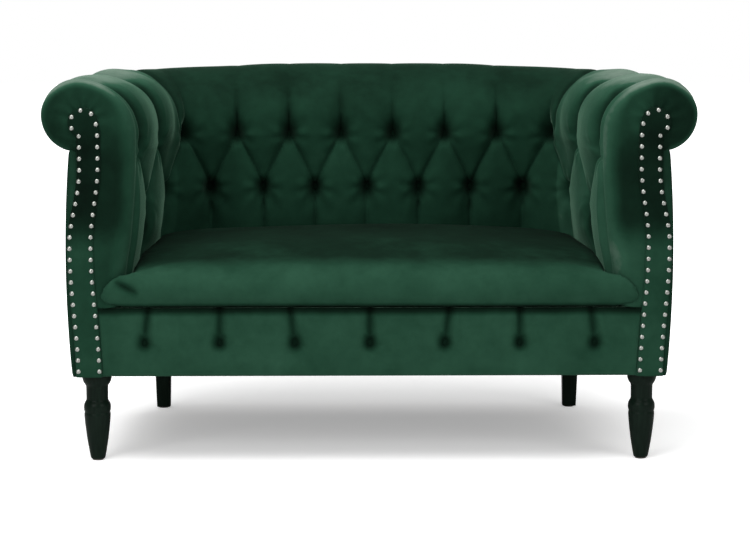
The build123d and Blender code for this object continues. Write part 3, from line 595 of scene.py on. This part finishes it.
def front_shading(side, x, z):
    """Painted shading of the flat arm front at a point: fair low down, darker under the scroll, less so
    on it.

    On the right arm it is fairer along the inner edge than on the left.
    """
    painted_shading = 0.51 - 0.33 * ease(0.42, 0.50, z) + 0.08 * ease(0.64, 0.70, z)
    inner = fall(0.525, 0.570, x)
    scroll = ease(0.60, 0.68, z)
    low = fall(0.42, 0.50, z)
    if side < 0:
        return painted_shading + 0.14 * scroll * fall(0.59, 0.63, x) - 0.06 * low * inner
    return painted_shading + (0.26 * inner - 0.05) * scroll + 0.14 * low * inner


def arm_front(side, base, base_shading, normal, length, edge_round):
    """Rings that close one end of the padding, from its last full section on, and their painted shading.

    The outline is drawn in along a quarter round, wide on the inner face and tight on the roll. Then
    the front face closes towards a line up the middle, with faint gathers round the scroll.
    """
    outline = joined(base[:, 0] * side, base[:, 2])
    inward = -normal / np.maximum(np.linalg.norm(normal, axis=1, keepdims=True), 1e-6)
    rings, ring_shading = [], []
    for theta in np.linspace(0, np.pi / 2, 15)[1:]:
        drawn = outline + inward * (edge_round * (1 - np.cos(theta)))[:, None]
        depth = base[:, 1] - edge_round * np.sin(theta)
        rings.append(joined(side * drawn[:, 0], depth, drawn[:, 1]))
        turned = np.sin(theta) ** 3
        # A painted highlight along the rounded inner edge, fading out over the roll.
        ridge_highlight = 0.10 * math.sin(2 * theta) * fall(0.74, 0.82, length)
        ring_shading.append(base_shading * (1 - turned) + front_shading(side, *drawn.T) * turned + ridge_highlight)
    rim = rings[-1]
    spine_z = np.clip(rim[:, 2], seat_line, front_spine_top)
    spine = joined(side * front_spine_x, front_spine_y, spine_z)
    around = np.arctan2(rim[:, 2] - scroll_z, np.abs(rim[:, 0]) - front_spine_x)
    gathers = 0.0014 * np.cos(11 * around + 2 * side) * ease(0.60, 0.66, rim[:, 2])
    for t in np.linspace(0, 1, 25)[1:]:
        ring = rim + (spine - rim) * t
        ring[:, 1] = ring[:, 1] + gathers * math.sin(math.pi * t)
        rings.append(ring)
        ring_shading.append(front_shading(side, side * ring[:, 0], ring[:, 2]))
    return rings, ring_shading


def tufted_wall(name):
    """The section carried along the wall, raised by the relief, and rounded into both arm fronts."""
    section, normal, length = padding_profile()
    stop = wall_end - edge_round_inner / math.cos(flare)
    step = tuft_pitch / steps_per_tuft
    count = int(stop / step)
    runs = np.arange(-count, count + 1) * step
    runs[[0, -1]] = (-stop, stop)
    away = np.abs(runs)[:, None]
    line, outward, forward = (part[:, None, :] for part in wall_frame(runs))
    tight = edge_round_roll - edge_round_inner
    edge_round = edge_round_inner + tight * ease(0.66, 0.78, length)
    edge_round[length == hidden_length] = edge_round_hidden

    relief, fold_and_shade = tufted_relief(runs[:, None], length[None, :])
    calm = fall(0.872, stop, away)
    plain = 0.006 * hill(0.33, 0.45, 0.70, 0.95, length)
    relief = relief * calm + plain * (1 - calm)
    relief = relief - 0.007 * hill(0.33, 0.42, 0.68, 0.86, length)
    rolled = hill(0.70, 0.81, 0.86, 0.94, length)
    arms = ease(seam_run, seam_run + arm_blend, away)
    relief = np.where(length == hidden_length, 0, relief - 0.006 * arms * rolled)
    reach = section[:, 0] + normal[:, 0] * relief
    sag = 0.010 * ease(0.16, 0.44, away) * (1 - 0.8 * ease(0.68, 0.88, away))
    height = section[:, 1] + normal[:, 1] * relief - sag * ease(0.66, 0.80, length)
    near_front = ease(0.78, stop, away)
    slide = arm_share(away, stop) * reach * math.tan(flare)
    slide = slide + near_front * (edge_round_inner - edge_round) / math.cos(flare)
    plan = line + outward * reach[..., None] + forward * slide[..., None]
    body = np.concatenate([plan, height[..., None]], axis=-1)

    # Painted shading of the padding: painted shade over the top of the back, painted highlight along the
    # crests of the arms, the right inner arm painted lighter than the left, and painted shade in the
    # folds and funnels.
    on_arm = ease(seam_run - 0.004, seam_run + 0.004, away)
    crest_highlight = hill(0.70, 0.81, 0.88, 0.97, length)
    painted_shading = 0.46 - 0.16 * (1 - on_arm) * ease(0.62, 0.76, length)
    painted_shading = painted_shading + on_arm * (0.06 + 0.46 * crest_highlight * (0.6 + 0.4 * arms))
    left, right = (ease(seam_run, seam_run + 0.004, way * runs)[:, None] for way in (-1, 1))
    painted_shading = painted_shading + left * (0.04 - 0.09 * crest_highlight) + right * (0.19 - 0.20 * crest_highlight)
    painted_shading = painted_shading * (1 - 0.92 * fold_and_shade * calm)

    left_rings, left_shading = arm_front(-1, body[0], painted_shading[0], normal, length, edge_round)
    right_rings, right_shading = arm_front(1, body[-1], painted_shading[-1], normal, length, edge_round)
    grid = np.stack(left_rings[::-1] + list(body) + right_rings)
    painted_shading = np.stack(left_shading[::-1] + list(painted_shading) + right_shading)
    quads = grid_quads(*grid.shape[:2], wrap_columns=True)[:, ::-1]
    return paint_shading(add_piece(name, grid.reshape(-1, 3), [quads]), painted_shading.reshape(-1))


padding = tufted_wall("tufted_padding")
padding_velvet = velvet("velvet_padding", 0.0, 0.22)
dress(padding, padding_velvet, "velvet", "left_arm_pad", "back_pad", "right_arm_pad", fill=0.8)


# Tuft buttons
# Small domed buttons covered in the same velvet, sewn through the foam at the bottom of each funnel.
# Two rows of them run along the arms and the back.
button_radius = 0.0105
button_dome = 0.0045
button_seat = 0.0005
button_stand = 0.007
button_back = 0.0022
to_the_back = (0.0, 1.0, 0.0)


def domed_buttons(name, centres, inward, radius, dome):
    """Round domes, flat behind, at each centre, facing against one inward direction or one each."""
    ring = np.linspace(0, np.pi / 2, 9)
    angle = np.linspace(0, 2 * np.pi, 28, endpoint=False)
    radial = np.concatenate([np.sin(ring[1:]), [0.9]])
    depth = np.concatenate([-np.cos(ring[1:]) * dome, [button_back]])
    up = np.array([0.0, 0.0, 1.0])
    inward = np.broadcast_to(inward, centres.shape)
    inward = inward / np.linalg.norm(inward, axis=1, keepdims=True)
    across = np.cross(inward, up)
    disc = radial[:, None, None] * radius * (
        np.cos(angle)[None, :, None] * across[:, None, None, :]
        + np.sin(angle)[None, :, None] * up
    )
    rings = centres[:, None, None, :] + disc + depth[None, :, None, None] * inward[:, None, None, :]
    count, levels, around = rings.shape[:3]
    shift = (np.arange(count) * levels * around)[:, None]
    quads = (grid_quads(levels, around, wrap_columns=True)[None] + shift[..., None]).reshape(-1, 4)
    fronts = np.arange(around) + shift
    backs = (levels - 1) * around + np.arange(around)[::-1] + shift
    return add_piece(name, rings.reshape(-1, 3), [quads[:, ::-1], fronts, backs])


def wall_buttons(name, runs, heights):
    """Buttons at the bottoms of the funnels of the given runs and heights."""
    line, outward, forward = wall_frame(runs)
    sunk = tufted_relief(runs, heights)[0] - button_stand
    reach = face_reach(heights) - sunk - button_seat
    slide = arm_share(runs, wall_end) * reach * math.tan(flare)
    plan = line + outward * reach[:, None] + forward * slide[:, None]
    centres, inward = joined(*plan.T, heights), joined(*outward.T, 0.0)
    # Painted shade: the buttons are painted dark, as if deep in the shade of their funnels.
    return paint_shading(domed_buttons(name, centres, inward, button_radius, button_dome), 0.12)


button_velvet = velvet("velvet_buttons", 7.0, 0.1)
upper_runs = tuft_run(np.arange(12) - 5.5)
lower_runs = tuft_run(np.arange(11) - 5.0)
all_runs = np.concatenate([upper_runs, lower_runs])
all_heights = np.repeat([upper_row, lower_row], [len(upper_runs), len(lower_runs)])
for place, chosen in (
    ("left_arm", all_runs < -seam_run),
    ("back", np.abs(all_runs) <= seam_run),
    ("right_arm", all_runs > seam_run),
):
    buttons = wall_buttons(f"{place}_tufts", all_runs[chosen], all_heights[chosen])
    dress(buttons, button_velvet, "velvet", f"{place}_buttons")


# Arm facings
# Narrow padded strips of velvet over card, bowed in an S with a round head inside the scroll. They
# hide the cut edges of the arm covers and are held by a close row of nails along both edges.
facing_front = -0.3492
facing_foot = 0.1755
facing_inner_x = 0.5338
facing_outer_x = 0.5858
facing_edge = 0.0035
facing_crown = 0.0052
head_x = 0.5648
head_z = 0.683
head_radius = 0.0295
neck_z = head_z - head_radius


def facing_edges(z, inset):
    """Inner and outer edge of the right facing at a height, both moved in by an inset.

    The strip is an S: it leans out from the foot to the waist and back in to the neck, where it is
    narrower. Over the neck the inner edge follows a quarter of a rounded square to the top of the
    head, and the outer edge hooks out along the head's circle.
    """
    lean = 0.014 * ease(0.176, 0.425, z) - 0.0165 * ease(0.440, 0.600, z)
    inner = facing_inner_x + lean + inset
    outer = facing_outer_x + lean - 0.0055 * ease(0.440, 0.560, z) - inset
    radius = head_radius - inset
    up = np.clip((z - neck_z) / (head_z + radius - neck_z), 0, 1)
    reach = head_x - (facing_inner_x - 0.0025) - inset
    inner = np.where(z > neck_z, head_x - reach * (1 - up**2.5) ** 0.4, inner)
    circle = head_x + np.sqrt(np.maximum(radius**2 - (z - head_z) ** 2, 0))
    outer = np.where(z > head_z, circle, np.maximum(outer, np.where(z > head_z - radius, circle, 0)))
    return inner, outer


def facing_heights(foot, neck, radius, counts):
    """Heights up the strip to its neck, to the middle of the head, and ever closer to its top."""
    turn = np.sin(np.linspace(0, np.pi / 2, counts[2]))[1:]
    straight = np.linspace(foot, neck, counts[0]), np.linspace(neck_z, head_z, counts[1])
    return np.concatenate([*straight, head_z + radius * turn])


def facing_strip(name, side):
    """The strip's width at each height, swept up the S and crowned a little towards the front."""
    z = facing_heights(facing_foot, neck_z - 0.002, head_radius, (130, 40, 40))
    inner, outer = facing_edges(z, 0.0)
    across = np.concatenate([[-1.0], np.linspace(-1, 1, 25), [1.0]])
    x = (inner + outer)[:, None] / 2 + (outer - inner)[:, None] / 2 * across[None, :]
    level = np.sqrt(1 - np.clip((z - head_z) / head_radius, 0, 1) ** 4)
    crown = facing_edge + facing_crown * np.sqrt(np.clip(1 - across**2, 0, 1)) * level[:, None]
    crown[:, [0, -1]] = 0.0
    points = joined(side * x, facing_front - crown, z[:, None])
    # Painted shading, as on the arm fronts: fair low down, darker under the scroll, less so on the head.
    painted_shading = 0.53 - 0.44 * ease(0.42, 0.50, z) + 0.10 * ease(0.64, 0.70, z)
    return paint_shading(tube_piece(name, points, side < 0), np.repeat(painted_shading, len(across)))


facing_velvet = velvet("velvet_facing", 23.0, 0.08)
for side, name in sides:
    strip = facing_strip(f"arm_facing_{name}", side)
    dress(strip, facing_velvet, "velvet", f"{name}_arm_facing", fill=0.9)


# Front band
# A shallow padded band of velvet over the front rail, between the two arm fronts. A row of buttons
# draws it in, and each button pulls a short pleat down from under the seat.
band_half = 0.5365
band_foot = 0.1755
band_head = 0.3125
band_row = 0.240
band_pitch = 0.150
band_tufts = 7
band_back = -0.3252
band_face = -0.3430
band_end_round = 0.012
band_button_radius = 0.0095
band_button_dome = 0.004


def band_relief(x, z):
    """Forward swell of the band: a flat arch over its height, funnels at the buttons, pleats above them.

    Between two buttons the band also swells a little, and each pleat runs from its button up to the
    seat, narrow and fairly deep, with a rounded lip on its right hand side. The second value is a mask
    of painted shade in the pleats and funnels.
    """
    rise = np.clip((z - band_foot) / (band_head - band_foot), 0, 1)
    swell = 0.0095 * (4 * rise * (1 - rise)) ** 0.45
    outermost = (band_tufts - 1) / 2
    nearest = np.clip(np.round(x / band_pitch), -outermost, outermost) * band_pitch
    aside = x - nearest
    lean = aside + 0.12 * (z - band_row) * np.sin(nearest * 31.0)
    above = ease(band_row - 0.006, band_row + 0.010, z)
    crease = above * bell(lean, 0.0065, 1.3)
    lip = 0.0040 * above * bell(lean - 0.017, 0.010)
    distance = np.hypot(aside * 1.1, np.where(z > band_row, (z - band_row) * 0.6, z - band_row))
    funnel = bell(distance, 0.0130)
    phase = np.pi * np.clip(aside / (band_pitch / 2), -1, 1)
    puff = 0.0045 * np.cos(phase + np.pi) * np.sin(np.pi * rise)
    sunk = np.maximum(0.0120 * crease, 0.0190 * funnel)
    return swell + lip + puff - sunk, np.maximum(0.55 * crease, funnel**1.2)


def tufted_band(name):
    """Grid over the band's face with rolled edges, closed by a flat back.

    Its ends follow the inner edges of the facings, under which they are tucked.
    """
    across = np.linspace(-1, 1, 480)
    z = np.linspace(band_foot, band_head, 72)
    reach = facing_edges(z, 0.0)[0] + 0.001
    x = reach[:, None] * across[None, :]
    relief, fold_and_shade = band_relief(x, z[:, None])
    front = band_face - relief
    ends = np.clip((reach[:, None] - np.abs(x)) / band_end_round, 0, 1)
    lowest = facing_front + 0.0002
    front = lowest + (front - lowest) * np.sqrt(1 - (1 - ends) ** 2)
    front = np.where(np.abs(x) > band_half - 0.006, np.minimum(front, lowest), front)
    face = joined(x, front, z[:, None])
    back = face[[0, -1]].copy()
    back[..., 0] = np.clip(back[..., 0], -band_half, band_half)
    back[..., 1] = band_back
    grid = np.concatenate([back[:1], face, back[1:]])
    # Painted shading: painted shade in the pleats and funnels, and a painted shadow along the top under
    # the seat's nose.
    painted_shading = 0.62 - 0.52 * np.concatenate([fold_and_shade[:1], fold_and_shade, fold_and_shade[-1:]])
    painted_shading = painted_shading - 0.48 * ease(0.295, 0.310, grid[..., 2])
    rows, columns = grid.shape[:2]
    end = (np.arange(rows) * columns)[None, :]
    faces = [grid_quads(rows, columns, wrap_rows=True), end, end[:, ::-1] + columns - 1]
    return paint_shading(add_piece(name, grid.reshape(-1, 3), faces), painted_shading.reshape(-1))


def band_buttons(name):
    """Buttons at the bottoms of the band's funnels."""
    x = (np.arange(band_tufts) - (band_tufts - 1) / 2) * band_pitch
    y = band_face - band_relief(x, np.full(band_tufts, band_row))[0] - button_seat
    centres = joined(x, y, band_row)
    buttons = domed_buttons(name, centres, to_the_back, band_button_radius, band_button_dome)
    # Painted shade: the buttons are painted dark, as if deep in the shade of their funnels.
    return paint_shading(buttons, 0.15)


band_velvet = velvet("velvet_band", 11.0, 0.15)
dress(tufted_band("tufted_band"), band_velvet, "velvet", "front_border", fill=0.8)
dress(band_buttons("band_tufts"), button_velvet, "velvet", "border_buttons")


# Seat
# A tight seat: crowned foam under a fitted velvet cover that swells over the front band and tucks down
# between the arms and the back. It is run as cloth, and a fold is pressed into its left front corner.
seat_front = -0.3640
seat_reach = -0.0975
seat_back = back_line + seat_reach
seat_corner = 0.030
nose = 0.038
side_round = 0.016
crown_height = 0.035
fold_x = 0.484
fold_z = 0.355
fold_depth = 0.011
cloth_cell = 0.006
cloth_steps = 20
cloth_pressure = 1.2
cloth_travel = 0.008


def half_width(y, reach):
    """Half width, at a depth, of a line that runs a reach outside the wall line."""
    start = arc_y + (corner_radius + reach) * math.sin(flare)
    run = (arm_end[1] + reach * math.sin(flare) - y) / math.cos(flare)
    arm = arm_end[0] + run * math.sin(flare) + reach * math.cos(flare)
    bend = arc_x + np.sqrt(np.maximum((corner_radius + reach) ** 2 - (y - arc_y) ** 2, 0))
    return np.where(y <= start, arm, bend)


def lengths_along(path):
    """Length of a path of points up to each of them."""
    return np.concatenate([[0], np.cumsum(np.linalg.norm(np.diff(path, axis=0), axis=1))])


def points_at(path, along, want):
    """Points of a plane path at the wanted lengths."""
    return joined(np.interp(want, along, path[:, 0]), np.interp(want, along, path[:, 1]))


def seat_outline(count):
    """Closed plan outline of the seat, anticlockwise from the middle of the front edge."""
    t = np.linspace(0, 1, 900)
    y = seat_front + (seat_back - seat_front) * (1 - (1 - t) ** 2)
    corner = np.clip((y - seat_front) / seat_corner, 0, 1)
    x = half_width(y, seat_reach) - seat_corner * (1 - np.sqrt(1 - (1 - corner) ** 2))
    front = joined(np.linspace(0, x[0], 200, endpoint=False), seat_front)
    half = np.concatenate([front, joined(x, y), [[0.0, seat_back]]])
    ring = np.concatenate([half, half[-2:0:-1] * (-1, 1), half[:1]])
    along = lengths_along(ring)
    return points_at(ring, along, np.linspace(0, along[-1], count, endpoint=False))


def seat_top(x, y):
    """Height of the seat's top: a low swell from the nose to the middle, crowned from side to side.

    A few shallow hollows and soft creases, wide sines of both directions, keep it from being perfect.
    """
    back = ease(0.0, 0.22, y - seat_front)
    crown = crown_height * back * (1 - 0.40 * np.clip(np.abs(x) / 0.46, 0, 1) ** 2)
    settle = 0.0016 * np.sin(9.1 * x + 3.0 * y) * np.sin(7.3 * y + 2.0 * x + 0.6) * back
    return seat_line + 2 * nose + crown + settle


def crowned_seat():
    """Rings of the outline: round the nose or up the side, over the edge, and in over the top.

    The front is a full half round. Elsewhere the side is upright with a small rounding. Further rings
    shrink towards a short line in the middle, at the height of the top. Both ends of the nose are
    drawn out sideways in front of the arms, further at the foot than at the top.
    """
    outline = seat_outline(640)
    ahead = np.roll(outline, -3, axis=0) - np.roll(outline, 3, axis=0)
    inward = joined(-ahead[:, 1], ahead[:, 0])
    inward = inward / np.linalg.norm(inward, axis=1, keepdims=True)
    front = fall(0.004, 0.080, outline[:, 1] - seat_front)
    middle = joined(np.clip(outline[:, 0], -0.30, 0.30), -0.085)
    rounding = side_round + (nose - side_round) * front
    rim = outline + inward * rounding[:, None]
    rim_top = seat_top(*rim.T)
    rings = []
    for theta in np.linspace(-np.pi / 2, 0, 12)[:-1]:
        plan = outline + inward * (rounding * front * (1 - np.cos(theta)))[:, None]
        low = seat_line + (rim_top - rounding - seat_line) * (1 + np.sin(theta))
        rings.append(np.column_stack([plan, low]))
    for theta in np.linspace(0, np.pi / 2, 18)[:-1]:
        plan = outline + inward * (rounding * (1 - np.cos(theta)))[:, None]
        rings.append(np.column_stack([plan, rim_top - rounding * (1 - np.sin(theta))]))
    for t in np.linspace(0, 1, 90):
        plan = rim + (middle - rim) * t
        rings.append(np.column_stack([plan, seat_top(*plan.T)]))
    grid = np.stack(rings)
    deep = grid[..., 1] - seat_front
    rise = np.clip((grid[..., 2] - seat_line) / (2 * nose), 0, 1)
    ear = 0.046 * fall(0.010, 0.030, deep) + 0.013 * fall(0.030, 0.085, deep)
    slant = (0.022 * (1 - rise) ** 1.5 - 0.014 * rise) * fall(0.05, 0.09, deep)
    ends = np.sign(grid[..., 0]) * ease(0.34, 0.47, np.abs(grid[..., 0]))
    grid[..., 0] = grid[..., 0] + ends * (ear + slant)
    under = grid[:1].copy()
    under[0, :, :2] = middle + (under[0, :, :2] - middle) * 0.5
    return np.concatenate([under, grid])


def seat_held(points):
    """Where the cover is fixed: its foot, its sides, its back and the ends of the nose."""
    x, y, z = np.abs(points[:, 0]), points[:, 1], points[:, 2]
    beside = (y > seat_front + 0.05) & (half_width(y, seat_reach) - x < 0.014)
    return (z < seat_line + 0.008) | beside | (y > seat_back - 0.014) | (x > 0.468)


def mesh_points(mesh):
    """The (n, 3) array of a mesh's points."""
    points = np.empty(len(mesh.vertices) * 3)
    mesh.vertices.foreach_get("co", points)
    return points.reshape(-1, 3)


def pumped_cover(name, grid, held):
    """A closed cover run as cloth over trapped air, with no modifier left on it.

    The form is evened out to small cells. The points that held picks stay put, the others move under
    the pressure, by the cloth's travel at most, and the result is divided once more.
    """
    piece = tube_piece(name, grid)

    def applied():
        """The piece's mesh with its modifiers worked into it."""
        depsgraph = bpy.context.evaluated_depsgraph_get()
        return bpy.data.meshes.new_from_object(piece.evaluated_get(depsgraph))

    cells = piece.modifiers.new("cells", "REMESH")
    cells.mode, cells.voxel_size = "VOXEL", cloth_cell
    piece.data = applied()
    piece.modifiers.clear()
    start = mesh_points(piece.data)
    piece.vertex_groups.new(name="held").add(np.flatnonzero(held(start)).tolist(), 1.0, "REPLACE")
    cloth = piece.modifiers.new("cloth", "CLOTH")
    cloth.settings.vertex_group_mass = "held"
    cloth.settings.use_pressure = True
    cloth.settings.uniform_pressure_force = cloth_pressure
    cloth.settings.effector_weights.gravity = 0.0
    cloth.settings.quality = 3
    for step in range(cloth_steps):
        scene.frame_set(step + 1)
    move = mesh_points(applied()) - start
    scene.frame_set(1)
    piece.modifiers.clear()
    piece.vertex_groups.clear()
    length = np.linalg.norm(move, axis=1, keepdims=True)
    move = move * np.tanh(length / cloth_travel) * cloth_travel / np.maximum(length, 1e-9)
    piece.data.vertices.foreach_set("co", (start + move).reshape(-1))
    piece.modifiers.new("finer", "SUBSURF").levels = 1
    piece.data = applied()
    piece.modifiers.clear()
    piece.data.polygons.foreach_set("use_smooth", np.ones(len(piece.data.polygons), bool))
    return piece


def press_corner_fold(piece):
    """A slanting fold pressed into the left end of the nose, and painted shade and light over the seat.
    """
    points = mesh_points(piece.data)
    deep = points[:, 1] - seat_front
    beside = np.abs(points[:, 0])
    across = (points[:, 2] - fold_z) - 0.49 * (beside - fold_x)
    fold_and_shade = bell(across, 0.0088, 1.3) * bell(beside - fold_x, 0.022, 4)
    fold_and_shade = fold_and_shade * fall(0.03, 0.06, deep) * (points[:, 0] < 0)
    points[:, 1] = points[:, 1] + fold_depth * fold_and_shade
    piece.data.vertices.foreach_set("co", points.reshape(-1))
    piece.data.update()
    # Painted shading of the seat: the nose painted lighter than the top, painted shade in the fold and
    # towards the back, and painted shadow under the nose and along the arms.
    painted_shading = 0.26 + 0.36 * fall(0.012, 0.10, deep) - 0.38 * fold_and_shade
    painted_shading = painted_shading - 0.16 * ease(0.10, 0.45, deep)
    painted_shading = painted_shading - 0.45 * fall(0.0, 0.015, points[:, 2] - seat_line)
    along_arm = half_width(points[:, 1], seat_reach) - beside
    painted_shading = painted_shading - 0.20 * fall(0.004, 0.035, along_arm) * ease(0.05, 0.09, deep)
    paint_shading(piece, painted_shading)


seat = pumped_cover("seat_cushion", crowned_seat(), seat_held)
press_corner_fold(seat)
dress(seat, velvet("velvet_seat", 17.0, 0.02), "velvet", "seat_cover", "seat_foam", fill=0.85)


# Facing nails
# Domed upholstery nails of polished pale metal, driven through the facing into the board. They stand
# in a close, even row just inside the strip's edge.
nail_pitch = 0.0229
nail_radius = 0.0050
nail_dome = 0.0038
nail_inset = 0.0055
nail_y = facing_front - 0.0052


def nail_places():
    """Even steps along the line just inside the strip's edge: up the inner side, over the head, down."""
    z = facing_heights(facing_foot + 0.0005, neck_z, head_radius - nail_inset, (400, 100, 200))
    inner, outer = facing_edges(z, nail_inset)
    path = np.concatenate([joined(inner, z), joined(outer, z)[::-1]])
    along = lengths_along(path)
    count = math.ceil(along[-1] / nail_pitch)
    return points_at(path, along, (np.arange(count) + 0.5) / count * along[-1])


nail_metal = worn_metal("nail_metal", (0.26, 0.27, 0.25), (0.44, 0.45, 0.42), 0.34)
nail_x, nail_z = nail_places().T
for side, name in sides:
    centres = joined(side * nail_x, nail_y, nail_z)
    heads = domed_buttons(f"nail_trim_{name}", centres, to_the_back, nail_radius, nail_dome)
    dress(heads, nail_metal, "nail_metal", f"{name}_facing_nails")


# Dust cover
# Black non-woven cloth stapled flat under the frame, notched at the front corners for the turned legs,
# cut away round the rear legs, and sagging a little between.
dust_level = 0.1752
dust_front = -0.322
dust_back = 0.285
dust_margin = 0.004
dust_sag = 0.0035
front_notch = 0.0316
rear_notch = 0.0230


def dust_sheet(name):
    """Grid over the plan of the frame with a shallow sag, without the cells that the legs take up.

    Returns the sheet and its flat area.
    """
    y = np.linspace(dust_front, dust_back, 90)
    across = np.linspace(-1, 1, 141)
    x = (half_width(y, 0.0) - dust_margin)[:, None] * across[None, :]
    hang = np.sin(np.pi * np.linspace(0, 1, len(y)))[:, None] * np.cos(across * np.pi / 2)[None, :]
    grid = joined(x, y[:, None], dust_level - dust_sag * hang)
    points = grid.reshape(-1, 3)
    quads = grid_quads(*x.shape)[:, ::-1]
    beside, deep = np.abs(points[quads, 0]), points[quads, 1]
    front = (beside.max(1) > front_leg_x - front_notch) & (deep.min(1) < front_leg_y + front_notch)
    off_x, off_y = np.abs(beside - rear_leg_x).min(1), np.abs(deep - rear_top_y).min(1)
    quads = quads[~front & ~((off_x < rear_notch) & (off_y < rear_notch))]
    used, quads = np.unique(quads, return_inverse=True)
    points, quads = points[used], quads.reshape(-1, 4)
    one = points[quads[:, 2]] - points[quads[:, 0]]
    other = points[quads[:, 3]] - points[quads[:, 1]]
    area = float(np.abs(one[:, 0] * other[:, 1] - one[:, 1] * other[:, 0]).sum() / 2)
    return add_piece(name, points, [quads]), area


dust_weave = coarse_cloth("dust_cloth", (0.012, 0.012, 0.012), (0.030, 0.030, 0.030), 700.0)
dust, dust_area = dust_sheet("dust_cloth")
dress(dust, dust_weave, "dust_cloth", "dust_cover")


# Studio
# A white floor with a soft shadow, a large overhead light, two fills and the camera of the photograph.
# They are only there for the picture.
floor_size = 14.0
sensor_width = 36.0
photo_width = 750
focal_pixels = 2372


def studio_floor():
    """A wide white plane: it shows the shadow near the sofa and turns to plain white further away.

    To the camera it also glows, as painted light: a little all round, which lightens the shadow, and
    more beside and behind the sofa, which keeps the shadow under it.
    """
    corners = np.array([(-1, -1, 0), (1, -1, 0), (1, 1, 0), (-1, 1, 0)]) * floor_size
    floor = add_piece("studio_floor", corners, [[[0, 1, 2, 3]]])
    material, tree, shader = new_material("studio_floor")
    place = add_node(tree, "ShaderNodeTexCoord", {}).outputs["Object"]
    length = add_node(tree, "ShaderNodeVectorMath", {0: place}, operation="LENGTH").outputs["Value"]
    apart = add_node(tree, "ShaderNodeSeparateXYZ", {0: place}).outputs
    beside = calculated(tree, "ABSOLUTE", apart["X"])
    glow = 0.0
    for value, start, end, low, high in (
        (length, 0.9, 2.2, 0.30, 1.0),
        (beside, 0.40, 0.66, 0.0, 0.27),
        (apart["Y"], 0.12, 0.35, 0.0, 0.15),
    ):
        limits = {"Value": value, "From Min": start, "From Max": end, "To Min": low, "To Max": high}
        away = add_node(tree, "ShaderNodeMapRange", limits, interpolation_type="SMOOTHSTEP")
        glow = calculated(tree, "ADD", away.outputs["Result"], glow)
    seen = add_node(tree, "ShaderNodeLightPath", {}).outputs["Is Camera Ray"]
    feed(tree, shader, {
        "Base Color": (0.86, 0.86, 0.86, 1.0),
        "Roughness": 0.9,
        "Specular IOR Level": 0.0,
        "Emission Color": (1, 1, 1, 1),
        "Emission Strength": calculated(tree, "MULTIPLY", seen, glow),
    })
    floor.data.materials.append(material)
    return floor


def white_backdrop():
    """A world that is plain white to the camera and a weaker light to the sofa."""
    world = bpy.data.worlds.new("studio")
    scene.world = world
    world.use_nodes = True
    tree = world.node_tree
    seen = add_node(tree, "ShaderNodeLightPath", {}).outputs["Is Camera Ray"]
    strength = add_node(tree, "ShaderNodeMapRange", {"Value": seen, "To Min": 0.30, "To Max": 1.0})
    feed(tree, tree.nodes["Background"], {"Color": (1, 1, 1, 1), "Strength": strength.outputs["Result"]})


def soft_box(name, place, aim, size, power):
    """A square area lamp at a place, pointed at another."""
    lamp = bpy.data.lights.new(name, "AREA")
    lamp.shape = "SQUARE"
    lamp.size = size
    lamp.energy = power
    holder = bpy.data.objects.new(name, lamp)
    scene.collection.objects.link(holder)
    holder.location = place
    way = np.array(aim, float) - np.array(place, float)
    tilt = math.atan2(math.hypot(way[0], way[1]), -way[2])
    holder.rotation_euler = (tilt, 0.0, math.atan2(-way[0], way[1]))


studio_floor()
white_backdrop()
soft_box("overhead", (-0.4, -0.7, 3.0), (0.0, 0.0, 0.4), 2.6, 95.0)
soft_box("front_fill", (-2.2, -3.6, 1.9), (0.0, 0.0, 0.45), 2.2, 68.0)
soft_box("right_fill", (2.6, -3.0, 1.8), (0.0, 0.0, 0.45), 2.0, 40.0)

lens = bpy.data.cameras.new("camera")
camera = bpy.data.objects.new("camera", lens)
scene.collection.objects.link(camera)
scene.camera = camera
camera.location = (-0.060, -5.019, 1.005)
camera.rotation_euler = (math.radians(90 - 7.675), 0.0, math.radians(-0.857))
lens.sensor_fit = "HORIZONTAL"
lens.sensor_width = sensor_width
lens.lens = focal_pixels * sensor_width / photo_width
lens.clip_end = 100.0

scene.view_settings.view_transform = "Standard"
